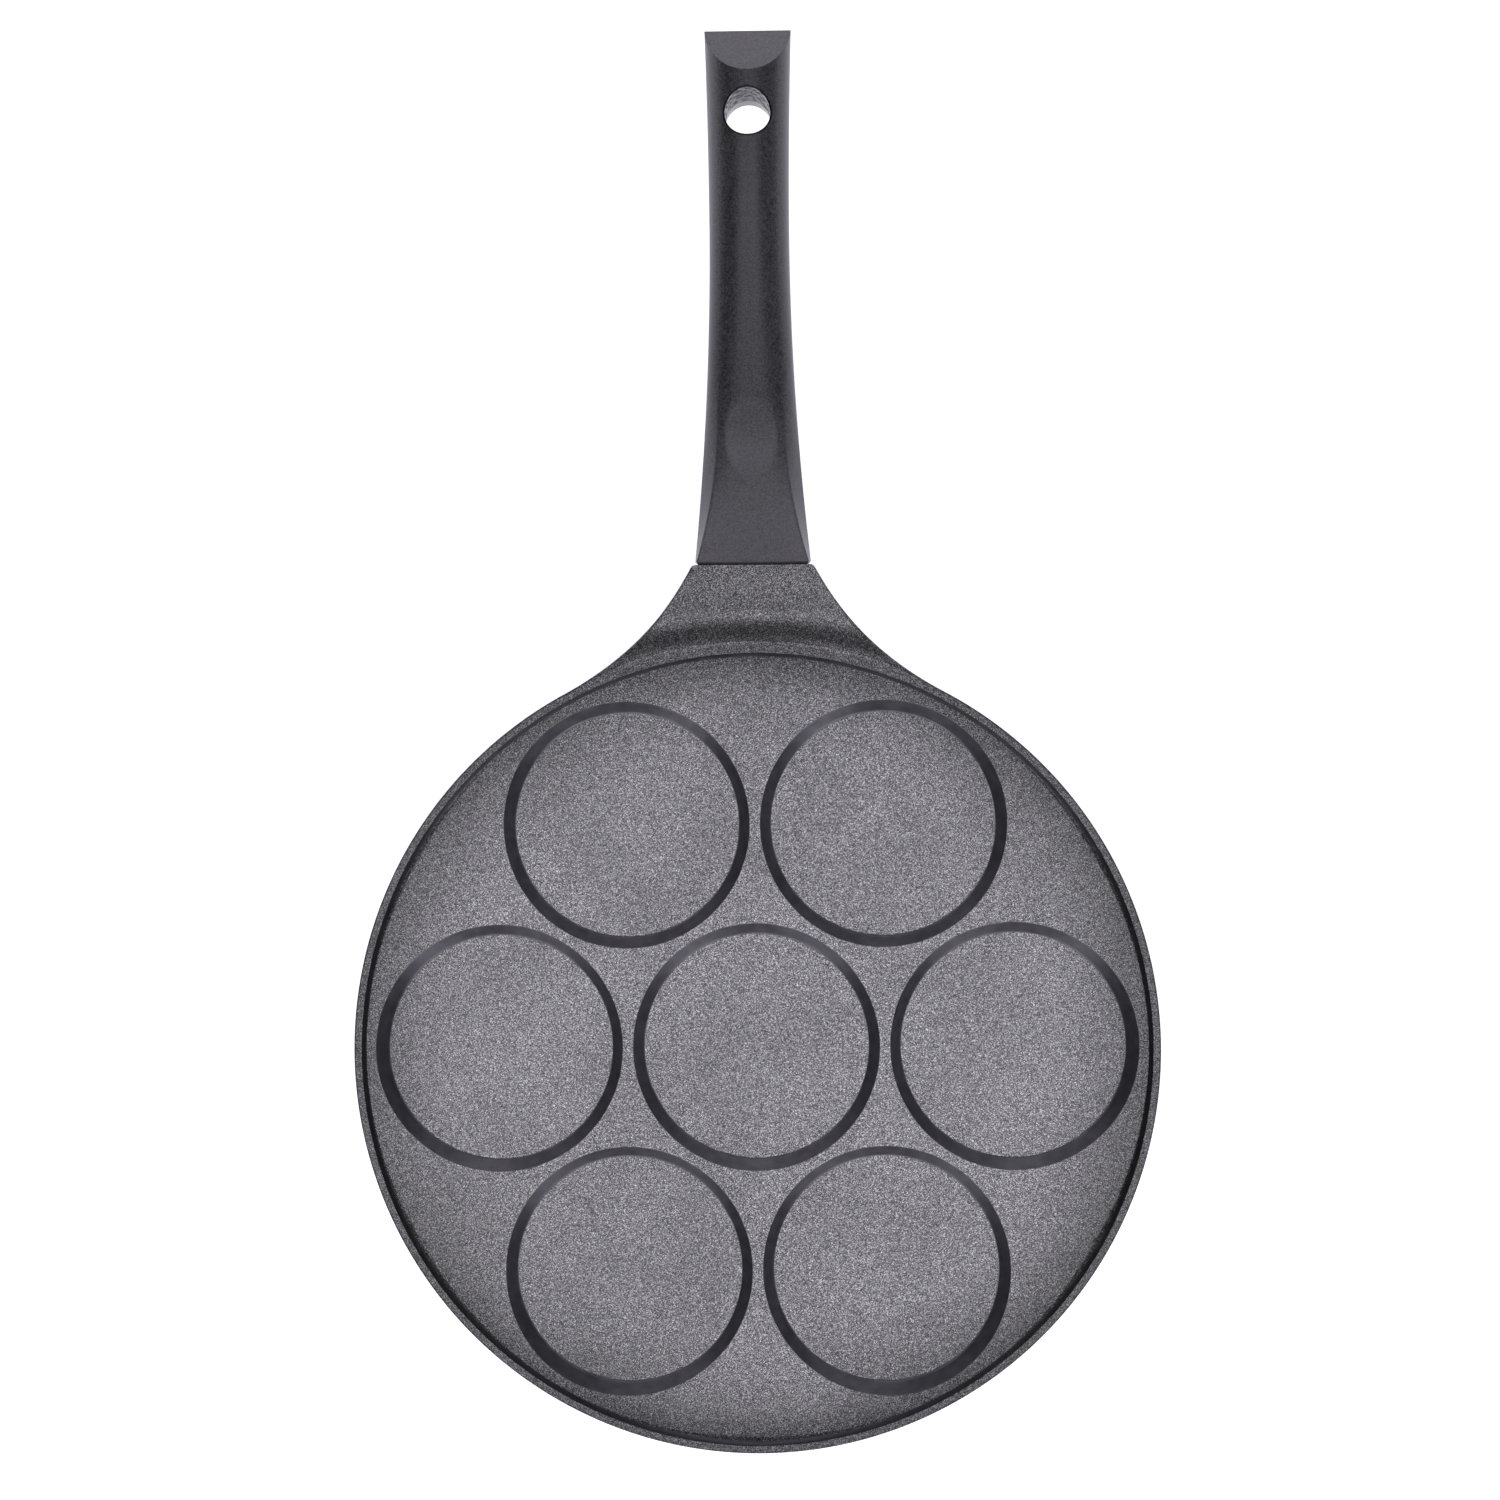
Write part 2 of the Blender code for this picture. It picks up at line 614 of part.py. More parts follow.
def make_handle_grip(material):
    """The handle moulding with its socket, screw hole, recess, hang hole and slanting end."""
    grip = make_grip_solid("handle_grip", material)
    hole_radius = SCREW_DIAMETER / 2 + SCREW_CLEARANCE
    bore_radius = FLAT_WASHER_DIAMETER / 2 + COUNTERBORE_CLEARANCE
    low = -GRIP_REAR_BELLY - CUTTER_MARGIN
    place = screw_frame()
    cutters = (
        make_facet_cutter(),
        make_hang_hole_cutter(),
        make_recess_cutter(),
        make_tang("socket_cutter", SOCKET_CLEARANCE),
        make_hole_cutter("screw_hole_cutter", hole_radius, low, TANG_RISE, place),
        make_hole_cutter("counterbore_cutter", bore_radius, low, seat_height(), place),
    )
    for cutter in cutters:
        combine(grip, "DIFFERENCE", cutter)
    return grip


def make_handle_screw(material, axis):
    """Pan-head screw, head down in the counterbore and shank up through the tang."""
    stack = FLAT_WASHER_THICKNESS + SPRING_WASHER_THICKNESS + 3 * STACK_GAP
    under_head = seat_height() - stack
    shank = SCREW_DIAMETER / 2
    tip = TANG_RISE + TANG_THICKNESS / 2 - SCREW_SHORT_OF_TOP
    corners = [
        (CAP_SHARE * HEAD_DIAMETER / 2, under_head - HEAD_HEIGHT, 0),
        (HEAD_DIAMETER / 2, under_head - HEAD_HEIGHT, HEAD_ROUNDING),
        (HEAD_DIAMETER / 2, under_head, 0),
        (shank, under_head, 0),
        (shank, tip - SCREW_TIP_CHAMFER, 0),
        (shank - SCREW_TIP_CHAMFER, tip, 0),
    ]
    screw = make_object("handle_screw", lathe(rounded(corners), SCREW_SEGMENTS), material, axis)
    half, arm = CROSS_WIDTH / 2, CROSS_LENGTH / 2
    quarter = [(half, -arm), (half, -half), (arm, -half)]
    outline = []
    for step in range(4):
        turn = Matrix.Rotation(math.pi / 2 * step, 2)
        outline += [turn @ Vector(point) for point in quarter]
    face = under_head - HEAD_HEIGHT
    cross = make_object("cross_cutter", prism(outline, face - CROSS_DEPTH, face + CROSS_DEPTH))
    cross.parent = axis
    combine(screw, "DIFFERENCE", cross)
    return screw


def make_flat_washer(material, axis):
    """Flat washer, next to the seat in the counterbore."""
    top = seat_height() - STACK_GAP
    inner = SCREW_DIAMETER / 2 + SCREW_CLEARANCE
    outer = FLAT_WASHER_DIAMETER / 2
    foot = top - FLAT_WASHER_THICKNESS
    profile = [(outer, top), (outer, foot), (inner, foot), (inner, top)]
    return make_object("flat_washer", lathe(profile, SCREW_SEGMENTS, closed=True), material, axis)


def make_spring_washer(material, axis):
    """Split spring washer, pressed flat between the flat washer and the head."""
    top = seat_height() - FLAT_WASHER_THICKNESS - 2 * STACK_GAP
    foot = top - SPRING_WASHER_THICKNESS
    inner = SCREW_DIAMETER / 2 + SCREW_CLEARANCE
    outer = SPRING_WASHER_DIAMETER / 2
    rings = []
    for step in range(SCREW_SEGMENTS + 1):
        ring = []
        for radius, height, skew in ((outer, top, 1), (outer, foot, -1), (inner, foot, -1), (inner, top, 1)):
            first = SPRING_WASHER_SPLIT / 2
            last = 2 * math.pi - SPRING_WASHER_SPLIT / 2
            angle = mix(first, last, step / SCREW_SEGMENTS) + skew * SPRING_WASHER_SLANT
            ring.append((radius * math.cos(angle), radius * math.sin(angle), height))
        rings.append(ring)
    return make_object("spring_washer", loft(rings), material, axis)


def main():
    """Clear the scene and build the pan."""
    for obj in list(bpy.data.objects):
        bpy.data.objects.remove(obj, do_unlink=True)
    coating = make_material("non_stick_coating", (0.185, 0.183, 0.195), 0.55, 0.2)
    phenolic = make_material("black_phenolic", (0.055, 0.054, 0.058), 0.5)
    steel = make_material("zinc_plated_steel", (0.62, 0.62, 0.60), 0.32, 1.0)
    make_pan_body(coating)
    make_handle_grip(phenolic)
    axis = bpy.data.objects.new("screw_axis", None)
    bpy.context.scene.collection.objects.link(axis)
    axis.matrix_world = screw_frame()
    make_handle_screw(steel, axis)
    make_flat_washer(steel, axis)
    make_spring_washer(steel, axis)


main()
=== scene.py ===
"""Looks of the pancake pan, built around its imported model.

The casting, the handle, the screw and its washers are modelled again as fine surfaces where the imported
solids lie, and each gets its own finish: speckled non-stick coating, bare turned aluminium under the base,
moulded phenolic plastic and zinc plate. Lengths are in metres. The origin is the centre of the base, +Y runs
to the handle and +Z points up.
"""

import logging
import math
from dataclasses import dataclass, field
from enum import Enum

import bmesh
import bpy
import numpy as np
from mathutils import Matrix


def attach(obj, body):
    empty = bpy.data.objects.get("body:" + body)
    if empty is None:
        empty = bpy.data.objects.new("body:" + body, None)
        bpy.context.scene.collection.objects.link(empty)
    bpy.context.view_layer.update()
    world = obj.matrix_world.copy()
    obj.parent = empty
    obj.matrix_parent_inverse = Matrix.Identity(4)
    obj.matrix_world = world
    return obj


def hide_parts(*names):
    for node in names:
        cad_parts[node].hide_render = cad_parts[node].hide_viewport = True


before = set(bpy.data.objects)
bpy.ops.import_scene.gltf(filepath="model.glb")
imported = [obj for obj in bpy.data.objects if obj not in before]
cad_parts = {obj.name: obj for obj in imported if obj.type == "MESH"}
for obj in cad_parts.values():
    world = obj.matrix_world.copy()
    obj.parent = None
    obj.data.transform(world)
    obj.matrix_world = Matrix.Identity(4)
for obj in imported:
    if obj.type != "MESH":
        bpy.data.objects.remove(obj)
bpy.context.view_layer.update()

log = logging.getLogger("pancake_pan")

Array = np.ndarray
Span = tuple[float, float]
Profile = list[Span]
Colour = tuple[float, float, float]
Socket = bpy.types.NodeSocket
Material = bpy.types.Material

BODY = "root"
MERGE_DISTANCE = 1e-6
TINY = 1e-9
SMALL_TURN = 1e-5
ANGLE_DIGITS = 9
SHARE_OF_SIDE = 0.45
ROUND_STEPS = 6
HALVINGS = 40
NOISE_SPAN = (0.3, 0.7)
MILLILITRES = 1e6


class Slot(Enum):
    """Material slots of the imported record."""

    COATING = "non_stick_coating"
    PHENOLIC = "black_phenolic"
    STEEL = "zinc_plated_steel"


class Skin(Enum):
    """Kinds of surface on the casting. The value is the finish's place in the mesh."""

    SPECKLED = 0
    SMOOTH = 1
    TURNED = 2


class Face(Enum):
    """Kinds of surface on the handle. The value is the finish's place in the mesh."""

    MOULDED = 0
    GROUND = 1
    HOLE_ABOVE = 2
    HOLE_BELOW = 3


def ease(share: Array) -> Array:
    """Run smoothly from 0 to 1, level at both ends: three squares less two cubes of the share."""
    held = np.clip(share, 0.0, 1.0)
    return held * held * (3 - 2 * held)


def arch(share: Array) -> Array:
    """Rise from 0 to 1 half way and fall back to 0, as a parabola."""
    return 4 * share * (1 - share)


def mix(low: Array, high: Array, share: Array) -> Array:
    """Go from low to high by a share."""
    return low + (high - low) * share


def soft_least(first: Array, second: Array, blend: float) -> Array:
    """Take the smaller of two values, rounded over where they come within a blend of each other.

    The result is the least value, less the square of what is left of the blend, over four blends.

    Args:
        first: one value or array.
        second: the other.
        blend: width of the rounding, in the values' own unit.

    Returns:
        The rounded smaller value.
    """
    left = np.maximum(blend - np.abs(first - second), 0)
    return np.minimum(first, second) - left**2 / (4 * blend)


def stack(x: Array, y: Array, z: Array) -> Array:
    """Join coordinates into points, spreading single values over the rest."""
    return np.stack(np.broadcast_arrays(x, y, z), axis=-1).astype(float)


def circle(segments: int) -> Array:
    """Angles of points spread evenly round a circle."""
    return np.linspace(0, 2 * math.pi, segments, endpoint=False)


def polar(radius: Array, angle: Array, height: Array) -> Array:
    """Points at a distance from the Z axis, at an angle from +X and at a height."""
    return stack(radius * np.cos(angle), radius * np.sin(angle), height)


def rounded(before: Array, corner: Array, after: Array, radius: Array) -> Array:
    """Round the corner of many paths at once.

    Each corner becomes the curve (1-t)^2 A + 2t(1-t) B + t^2 C, with B the corner, and A and C as far from
    it as an arc of that radius would touch the two sides, but never past a share of a side.

    Args:
        before: points that the paths come from, (n, 3).
        corner: the corners, (n, 3).
        after: points that the paths go to, (n, 3).
        radius: radius of the rounding, one value or (n,).

    Returns:
        Points of (ROUND_STEPS + 1, n, 3).
    """
    sides = [before - corner, after - corner]
    lengths = [np.linalg.norm(side, axis=-1, keepdims=True) for side in sides]
    ways = [side / np.maximum(length, TINY) for side, length in zip(sides, lengths)]
    cosine = np.clip((ways[0] * ways[1]).sum(-1, keepdims=True), -1, 1)
    half = np.maximum(np.arccos(cosine) / 2, TINY)
    reach = np.broadcast_to(np.asarray(radius, float), corner.shape[:-1])[..., None] / np.tan(half)
    first, last = (
        corner + way * np.minimum(reach, SHARE_OF_SIDE * length) for way, length in zip(ways, lengths)
    )
    t = np.linspace(0, 1, ROUND_STEPS + 1).reshape(-1, 1, 1)
    return (1 - t) ** 2 * first + 2 * t * (1 - t) * corner + t**2 * last


def rounded_bend(path: Profile, radius: float) -> Profile:
    """Round the bend in a path of three (across, up) places."""
    before, bend, after = (np.array([[across, 0, up]], float) for across, up in path)
    return [(across, up) for across, _, up in rounded(before, bend, after, radius)[:, 0]]


def straight(start: Array, end: Array, steps: int) -> Array:
    """Part the way between two rows of points into equal steps, and leave out the two rows."""
    t = np.linspace(0, 1, steps + 1)[1:-1].reshape(-1, 1, 1)
    return mix(start, end, t)


@dataclass
class Surface:
    """A mesh gathered from grids of points. Each grid is a surface of two parameters, row by row."""

    points: list[Array] = field(default_factory=list)
    faces: list[Array] = field(default_factory=list)
    kinds: list[Array] = field(default_factory=list)
    count: int = 0

    def add(self, grid: Array, kinds: Array | int = 0, loop: bool = True) -> None:
        """Add a grid of quads.

        Args:
            grid: points of (rows, columns, 3).
            kinds: place of the finish for each row of quads, or one for all.
            loop: join the last column to the first.
        """
        rows, columns = grid.shape[:2]
        index = np.arange(rows * columns).reshape(rows, columns) + self.count
        if loop:
            index = np.concatenate([index, index[:, :1]], axis=1)
        quads = np.stack([index[:-1, :-1], index[:-1, 1:], index[1:, 1:], index[1:, :-1]], axis=-1)
        kind = np.broadcast_to(np.asarray(kinds).reshape(-1, 1), quads.shape[:2])
        self.points.append(grid.reshape(-1, 3))
        self.faces.append(quads.reshape(-1, 4))
        self.kinds.append(kind.reshape(-1))
        self.count += rows * columns

    def piece(self, name: str, finishes: list[Material]) -> bpy.types.Object:
        """Weld the grids into one mesh and make it an object at the origin.

        Args:
            name: name of the piece.
            finishes: its materials, in the order of the kinds.

        Returns:
            The new object.
        """
        mesh = bpy.data.meshes.new(name)
        mesh.from_pydata(np.concatenate(self.points), [], np.concatenate(self.faces))
        mesh.polygons.foreach_set("material_index", np.concatenate(self.kinds).astype(np.int32))
        weld(mesh)
        for finish in finishes:
            mesh.materials.append(finish)
        obj = bpy.data.objects.new(name, mesh)
        bpy.context.scene.collection.objects.link(obj)
        return obj


def weld(mesh: bpy.types.Mesh) -> None:
    """Merge the points that meet, drop what that leaves without area, and turn all faces outwards.

    Args:
        mesh: the mesh, which is changed.
    """
    bm = bmesh.new()
    bm.from_mesh(mesh)
    bmesh.ops.remove_doubles(bm, verts=bm.verts, dist=MERGE_DISTANCE)
    bmesh.ops.recalc_face_normals(bm, faces=bm.faces)
    bm.to_mesh(mesh)
    bm.free()


def grid_piece(
    name: str, finishes: list[Material], grid: Array, kinds: Array | int = 0, loop: bool = True
) -> bpy.types.Object:
    """Make a piece of a single grid.

    Args:
        name: name of the piece.
        finishes: its materials, in the order of the kinds.
        grid: points of (rows, columns, 3).
        kinds: place of the finish for each row of quads, or one for all.
        loop: join the last column to the first.

    Returns:
        The new object.
    """
    surface = Surface()
    surface.add(grid, kinds, loop)
    return surface.piece(name, finishes)


def lathe(profile: Profile, segments: int) -> Array:
    """Turn a profile about Z: each (radius, height) becomes a ring of points.

    Args:
        profile: (radius, height) pairs.
        segments: number of points round a ring.

    Returns:
        Points of (profile, segments, 3).
    """
    radius, height = np.asarray(profile, float).T[:, :, None]
    return polar(radius, circle(segments), height)


def slab(outline: Profile, low: float, high: float, rounding: float) -> Array:
    """Raise an outline from the XY plane: fans from its middle close both faces, whose edges are rounded.

    Args:
        outline: (x, y) corners.
        low: height of the lower face.
        high: height of the upper face.
        rounding: radius of the faces' edges.

    Returns:
        Points of (rows, corners, 3).
    """
    ring = np.asarray(outline, float)
    middle = np.broadcast_to(ring.mean(axis=0), ring.shape)
    levels = ((middle, low), (ring, low), (ring, high), (middle, high))
    rows = [stack(plan[:, 0], plan[:, 1], height) for plan, height in levels]
    edges = [rounded(*rows[0:3], rounding), rounded(*rows[1:4], rounding)]
    return np.concatenate([rows[0][None], *edges, rows[3][None]])


def filleted(corners: Profile, fillet: float) -> Profile:
    """Round every corner of a closed section, and end it where it starts.

    Args:
        corners: (radius, height) pairs.
        fillet: radius of the rounding.

    Returns:
        The rounded section's (radius, height) pairs.
    """
    places = np.array([[x, 0, y] for x, y in corners], float)
    curves = rounded(np.roll(places, 1, axis=0), places, np.roll(places, -1, axis=0), fillet)
    section = curves.transpose(1, 0, 2).reshape(-1, 3)
    closed = np.concatenate([section, section[:1]])
    return [(x, z) for x, _, z in closed]


def placed(grid: Array, matrix: Matrix) -> Array:
    """Carry points of a local frame to where the frame's matrix puts them."""
    turn = np.array(matrix.to_3x3())
    return grid @ turn.T + np.array(matrix.translation)


def cut_away(obj: bpy.types.Object, *tools: Array, kinds: Array | int = 0) -> None:
    """Cut closed solids out of a piece, one after the other.

    Args:
        obj: the piece, whose mesh is replaced.
        tools: grid of each tool's surface.
        kinds: place of the finish that the cut faces get, for each row of the tools' faces or one for all.
    """
    cutters = [grid_piece("cutter", list(obj.data.materials), grid, kinds) for grid in tools]
    for cutter in cutters:
        modifier = obj.modifiers.new("cut", "BOOLEAN")
        modifier.object, modifier.operation, modifier.solver = cutter, "DIFFERENCE", "EXACT"
    graph = bpy.context.evaluated_depsgraph_get()
    carved = bpy.data.meshes.new_from_object(obj.evaluated_get(graph))
    carved.name = obj.name
    obj.modifiers.clear()
    obj.data = carved
    for cutter in cutters:
        bpy.data.objects.remove(cutter)


def finish_piece(obj: bpy.types.Object, slot: Slot, sharp: float, *nodes: str) -> None:
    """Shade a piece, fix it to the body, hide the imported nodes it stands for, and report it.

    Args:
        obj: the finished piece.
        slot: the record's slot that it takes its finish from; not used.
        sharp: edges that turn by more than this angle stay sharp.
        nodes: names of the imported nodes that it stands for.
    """
    obj.data.shade_smooth()
    obj.data.set_sharp_from_angle(angle=sharp)
    modifier = obj.modifiers.new("even_shading", "WEIGHTED_NORMAL")
    modifier.keep_sharp = True
    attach(obj, BODY)
    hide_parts(*nodes)
    bm = bmesh.new()
    bm.from_mesh(obj.data)
    loose = sum(1 for edge in bm.edges if not edge.is_manifold)
    triangles = sum(len(face.verts) - 2 for face in bm.faces)
    volume = bm.calc_volume() * MILLILITRES
    bm.free()
    log.info("%s: %d triangles, %.2f ml, %d open edges", obj.name, triangles, volume, loose)


class Wiring:
    """Nodes of one material or world, added and joined one at a time."""

    def __init__(self, tree: bpy.types.NodeTree) -> None:
        """Work on a node tree."""
        self.tree = tree

    def add(self, kind: str, inputs: dict | None = None, **settings: object) -> bpy.types.Node:
        """Add a node.

        Args:
            kind: the node's type, without its common beginning.
            inputs: values or other nodes' outputs, by the name or place of the input.
            settings: the node's own properties.

        Returns:
            The new node.
        """
        node = self.tree.nodes.new("ShaderNode" + kind)
        for name, value in settings.items():
            setattr(node, name, value)
        self.feed(node, inputs or {})
        return node

    def feed(self, node: bpy.types.Node, inputs: dict) -> None:
        """Set or join a node's inputs.

        Args:
            node: the node.
            inputs: values or other nodes' outputs, by the name or place of the input.
        """
        for name, value in inputs.items():
            if isinstance(value, Socket):
                self.tree.links.new(value, node.inputs[name])
            else:
                node.inputs[name].default_value = value

    def math(self, operation: str, first: object, second: object = 0.0) -> Socket:
        """Work out one value from two."""
        return self.add("Math", {0: first, 1: second}, operation=operation).outputs[0]

    def span(self, value: object, come: Span, go: Span) -> Socket:
        """Carry a value smoothly from one range to another, and hold it past the ends."""
        inputs = {"Value": value, "From Min": come[0], "From Max": come[1], "To Min": go[0], "To Max": go[1]}
        return self.add("MapRange", inputs, interpolation_type="SMOOTHSTEP").outputs[0]

    def vector(self, operation: str, first: object, second: object) -> Socket:
        """Work out one vector from two."""
        return self.add("VectorMath", {0: first, 1: second}, operation=operation).outputs[0]

    def length(self, vector: Socket) -> Socket:
        """Length of a vector."""
        return self.add("VectorMath", {0: vector}, operation="LENGTH").outputs["Value"]

    def blend(self, share: object, low: object, high: object) -> Socket:
        """Go from one value to another by a share."""
        return self.add("Mix", {"Factor": share, "A": low, "B": high}).outputs["Result"]

    def tones(self, value: object, span: Span, dark: Colour, light: Colour) -> Socket:
        """Turn a value into a colour: dark up to the span's start, light from its end."""
        return self.ramp(value, list(zip(span, (dark, light))))

    def ramp(self, value: object, stops: list[tuple[float, Colour]]) -> Socket:
        """Turn a value into a colour between stops.

        Args:
            value: output or number that picks the colour.
            stops: (place, colour) pairs, rising.

        Returns:
            The colour.
        """
        node = self.add("ValToRGB", {"Fac": value})
        elements = node.color_ramp.elements
        while len(elements) < len(stops):
            elements.new(0.5)
        for element, (place, colour) in zip(elements, stops):
            element.position, element.color = place, (*colour, 1)
        return node.outputs["Color"]


class Recipe(Wiring):
    """Nodes of a material round its shader, read in the piece's own coordinates."""

    def __init__(self, name: str) -> None:
        """Start a material.

        Args:
            name: name of the material.
        """
        self.material = bpy.data.materials.new(name)
        self.material.use_nodes = True
        super().__init__(self.material.node_tree)
        self.shader = self.tree.nodes["Principled BSDF"]
        self.place = self.add("TexCoord").outputs["Object"]

    def cells(self, size: float) -> Socket:
        """Give each grain of about that size one random value."""
        node = self.add("TexVoronoi", {"Vector": self.place, "Scale": 1 / size}, feature="F1")
        return self.add("SeparateColor", {"Color": node.outputs["Color"]}).outputs[0]

    def noise(self, size: float, detail: float = 2.0) -> Socket:
        """Give a soft random value with features of about that size."""
        return self.add("TexNoise", {"Vector": self.place, "Scale": 1 / size, "Detail": detail}).outputs[0]

    def from_axis(self) -> Socket:
        """Distance from the pan's axis."""
        return self.length(self.vector("MULTIPLY", self.place, (1, 1, 0)))

    def bump(self, height: object, distance: float, strength: float) -> Socket:
        """Raise the surface by a height."""
        return self.add("Bump", {"Height": height, "Distance": distance, "Strength": strength}).outputs[0]

    def dressed(self, inputs: dict) -> Material:
        """Feed the shader and hand the material over."""
        self.feed(self.shader, inputs)
        return self.material


@dataclass(frozen=True)
class SpeckledCoating:
    """Non-stick coating with fine light and dark grains."""

    grain: float = 0.00022
    fine_grain: float = 0.00014
    coarse_share: float = 0.7
    cloud: float = 0.03
    cloud_lift: Span = (-0.02, 0.02)
    stops: tuple[float, ...] = (0.0, 0.5, 0.8, 1.0)
    shades: tuple[float, ...] = (0.0, 0.10, 0.33, 0.95)
    metallic: float = 0.75
    roughness: Span = (0.30, 0.42)
    relief: float = 0.00002
    relief_strength: float = 0.12
    reach: float = 0.16
    # Painted shade: factors that darken the colour by the distance from the axis, in the cove, rim and neck.
    painted_shade_by_radius: tuple[Span, ...] = (
        (0.098, 1.0),
        (0.112, 0.80),
        (0.1262, 0.48),
        (0.1300, 0.47),
        (0.1312, 0.68),
        (0.142, 0.66),
        (0.150, 0.74),
    )

    def material(self) -> Material:
        """Mix two sizes of grain for the colour, and let the grain roughen and raise the surface.

        Painted shade darkens the colour with the distance from the axis, most of all on the rim's top.

        Returns:
            The material.
        """
        recipe = Recipe("speckled_coating")
        coarse, fine = recipe.cells(self.grain), recipe.cells(self.fine_grain)
        both = recipe.blend(self.coarse_share, fine, coarse)
        cloud = recipe.span(recipe.noise(self.cloud), NOISE_SPAN, self.cloud_lift)
        grain = recipe.math("ADD", both, cloud)
        bright = recipe.ramp(grain, [(stop, (shade,) * 3) for stop, shade in zip(self.stops, self.shades)])
        # Painted shade: the grain's colour is scaled down by the distance from the pan's axis.
        share = recipe.math("DIVIDE", recipe.from_axis(), self.reach)
        darker = recipe.ramp(share, [(radius / self.reach, (shade,) * 3) for radius, shade in self.painted_shade_by_radius])
        return recipe.dressed(
            {
                "Base Color": recipe.vector("MULTIPLY", bright, darker),
                "Metallic": self.metallic,
                "Roughness": recipe.span(grain, (0, 1), self.roughness),
                "Normal": recipe.bump(grain, self.relief, self.relief_strength),
            }
        )


@dataclass(frozen=True)
class SmoothCoating:
    """The same coating on steep walls, of the moulds and of the rim's step, dark and even; the step has
    painted shade.
    """

    dark: Colour = (0.10, 0.10, 0.112)
    light: Colour = (0.14, 0.14, 0.152)
    metallic: float = 0.75
    roughness: Span = (0.30, 0.38)
    streak: float = 0.004
    streak_detail: float = 3.0
    rim_step_painted_shade_span: Span = (0.1255, 0.1262)
    rim_step_painted_shade: float = 0.4

    def material(self) -> Material:
        """Vary colour and roughness a little along the wall, and paint shade onto the step inside the rim.

        Returns:
            The material.
        """
        recipe = Recipe("smooth_coating")
        streak = recipe.noise(self.streak, self.streak_detail)
        wall = recipe.tones(streak, NOISE_SPAN, self.dark, self.light)
        # Painted shade: the step inside the rim is scaled darker by its distance from the axis.
        shade = recipe.span(recipe.from_axis(), self.rim_step_painted_shade_span, (1.0, self.rim_step_painted_shade))
        colour = recipe.add("VectorMath", {0: wall, "Scale": shade}, operation="SCALE").outputs[0]
        return recipe.dressed(
            {
                "Base Color": colour,
                "Metallic": self.metallic,
                "Roughness": recipe.span(streak, NOISE_SPAN, self.roughness),
            }
        )


@dataclass(frozen=True)
class TurnedAluminium:
    """Bare base, faced on a lathe: fine grooves round the centre."""

    groove: float = 0.0007
    relief: float = 0.00002
    relief_strength: float = 0.4
    rings_per_metre: float = 900.0
    ring_detail: float = 4.0
    dark: Colour = (0.50, 0.50, 0.505)
    light: Colour = (0.72, 0.72, 0.73)
    roughness: float = 0.34

    def material(self) -> Material:
        """Wave the surface with the distance from the centre, and darken it in uneven rings.

        Returns:
            The material.
        """
        recipe = Recipe("turned_aluminium")
        radius = recipe.from_axis()
        turns = recipe.math("MULTIPLY", radius, 2 * math.pi / self.groove)
        wave = recipe.math("SINE", turns)
        ring = recipe.add("CombineXYZ", {"X": radius}).outputs[0]
        inputs = {"Vector": ring, "Scale": self.rings_per_metre, "Detail": self.ring_detail}
        uneven = recipe.add("TexNoise", inputs).outputs[0]
        return recipe.dressed(
            {
                "Base Color": recipe.tones(uneven, NOISE_SPAN, self.dark, self.light),
                "Metallic": 1.0,
                "Roughness": self.roughness,
                "Normal": recipe.bump(wave, self.relief, self.relief_strength),
            }
        )


@dataclass(frozen=True)
class Phenolic:
    """Black moulded phenolic with a fine dull grain, and painted light at its front and in the thumb recess.
    """

    recess_centre: float
    name: str = "black_phenolic"
    recess_half_width: float = 0.0078
    recess_half_length: float = 0.0118
    front: Span = (0.165, 0.215)
    # Painted light: lightens the handle's rising front, standing in for the light that falls on it.
    front_painted_light: float = 0.3
    # Painted light: lightens the thumb recess, standing in for the light that its hollow catches.
    recess_painted_light: float = 0.08
    recess_border: Span = (0.92, 1.04)
    grain: float = 0.00045
    fine_grain: float = 0.00028
    grain_share: float = 0.25
    tone_span: Span = (0.05, 1.0)
    dark: Colour = (0.002, 0.002, 0.0022)
    light: Colour = (0.121, 0.119, 0.127)
    roughness: Span = (0.33, 0.46)
    specular: float = 0.35
    relief: float = 0.00002
    relief_strength: float = 0.3

    def material(self) -> Material:
        """Mix two sizes of grain, add painted light to the mix at the front and in an oval, and raise the
        surface by it.

        Returns:
            The material.
        """
        recipe = Recipe(self.name)
        both = recipe.math("ADD", recipe.cells(self.grain), recipe.cells(self.fine_grain))
        grain = recipe.math("MULTIPLY", both, self.grain_share)
        scale = (1 / self.recess_half_width, 1 / self.recess_half_length, 0)
        centred = recipe.vector("SUBTRACT", recipe.place, (0, self.recess_centre, 0))
        away = recipe.length(recipe.vector("MULTIPLY", centred, scale))
        # Painted light in the thumb recess and at the front, added to the grain's tone.
        oval_painted_light = recipe.span(away, self.recess_border, (self.recess_painted_light, 0.0))
        ahead = recipe.add("SeparateXYZ", {0: recipe.place}).outputs["Y"]
        lift = recipe.math("ADD", oval_painted_light, recipe.span(ahead, self.front, (self.front_painted_light, 0.0)))
        shade = recipe.math("ADD", grain, lift)
        return recipe.dressed(
            {
                "Base Color": recipe.tones(shade, self.tone_span, self.dark, self.light),
                "Specular IOR Level": self.specular,
                "Roughness": recipe.span(grain, (0, 2 * self.grain_share), self.roughness),
                "Normal": recipe.bump(grain, self.relief, self.relief_strength),
            }
        )


@dataclass(frozen=True)
class GroundPhenolic(Phenolic):
    """The same plastic on the handle's ground end, where it is lighter."""

    name: str = "ground_phenolic"
    dark: Colour = (0.03, 0.03, 0.032)
    light: Colour = (0.22, 0.218, 0.23)


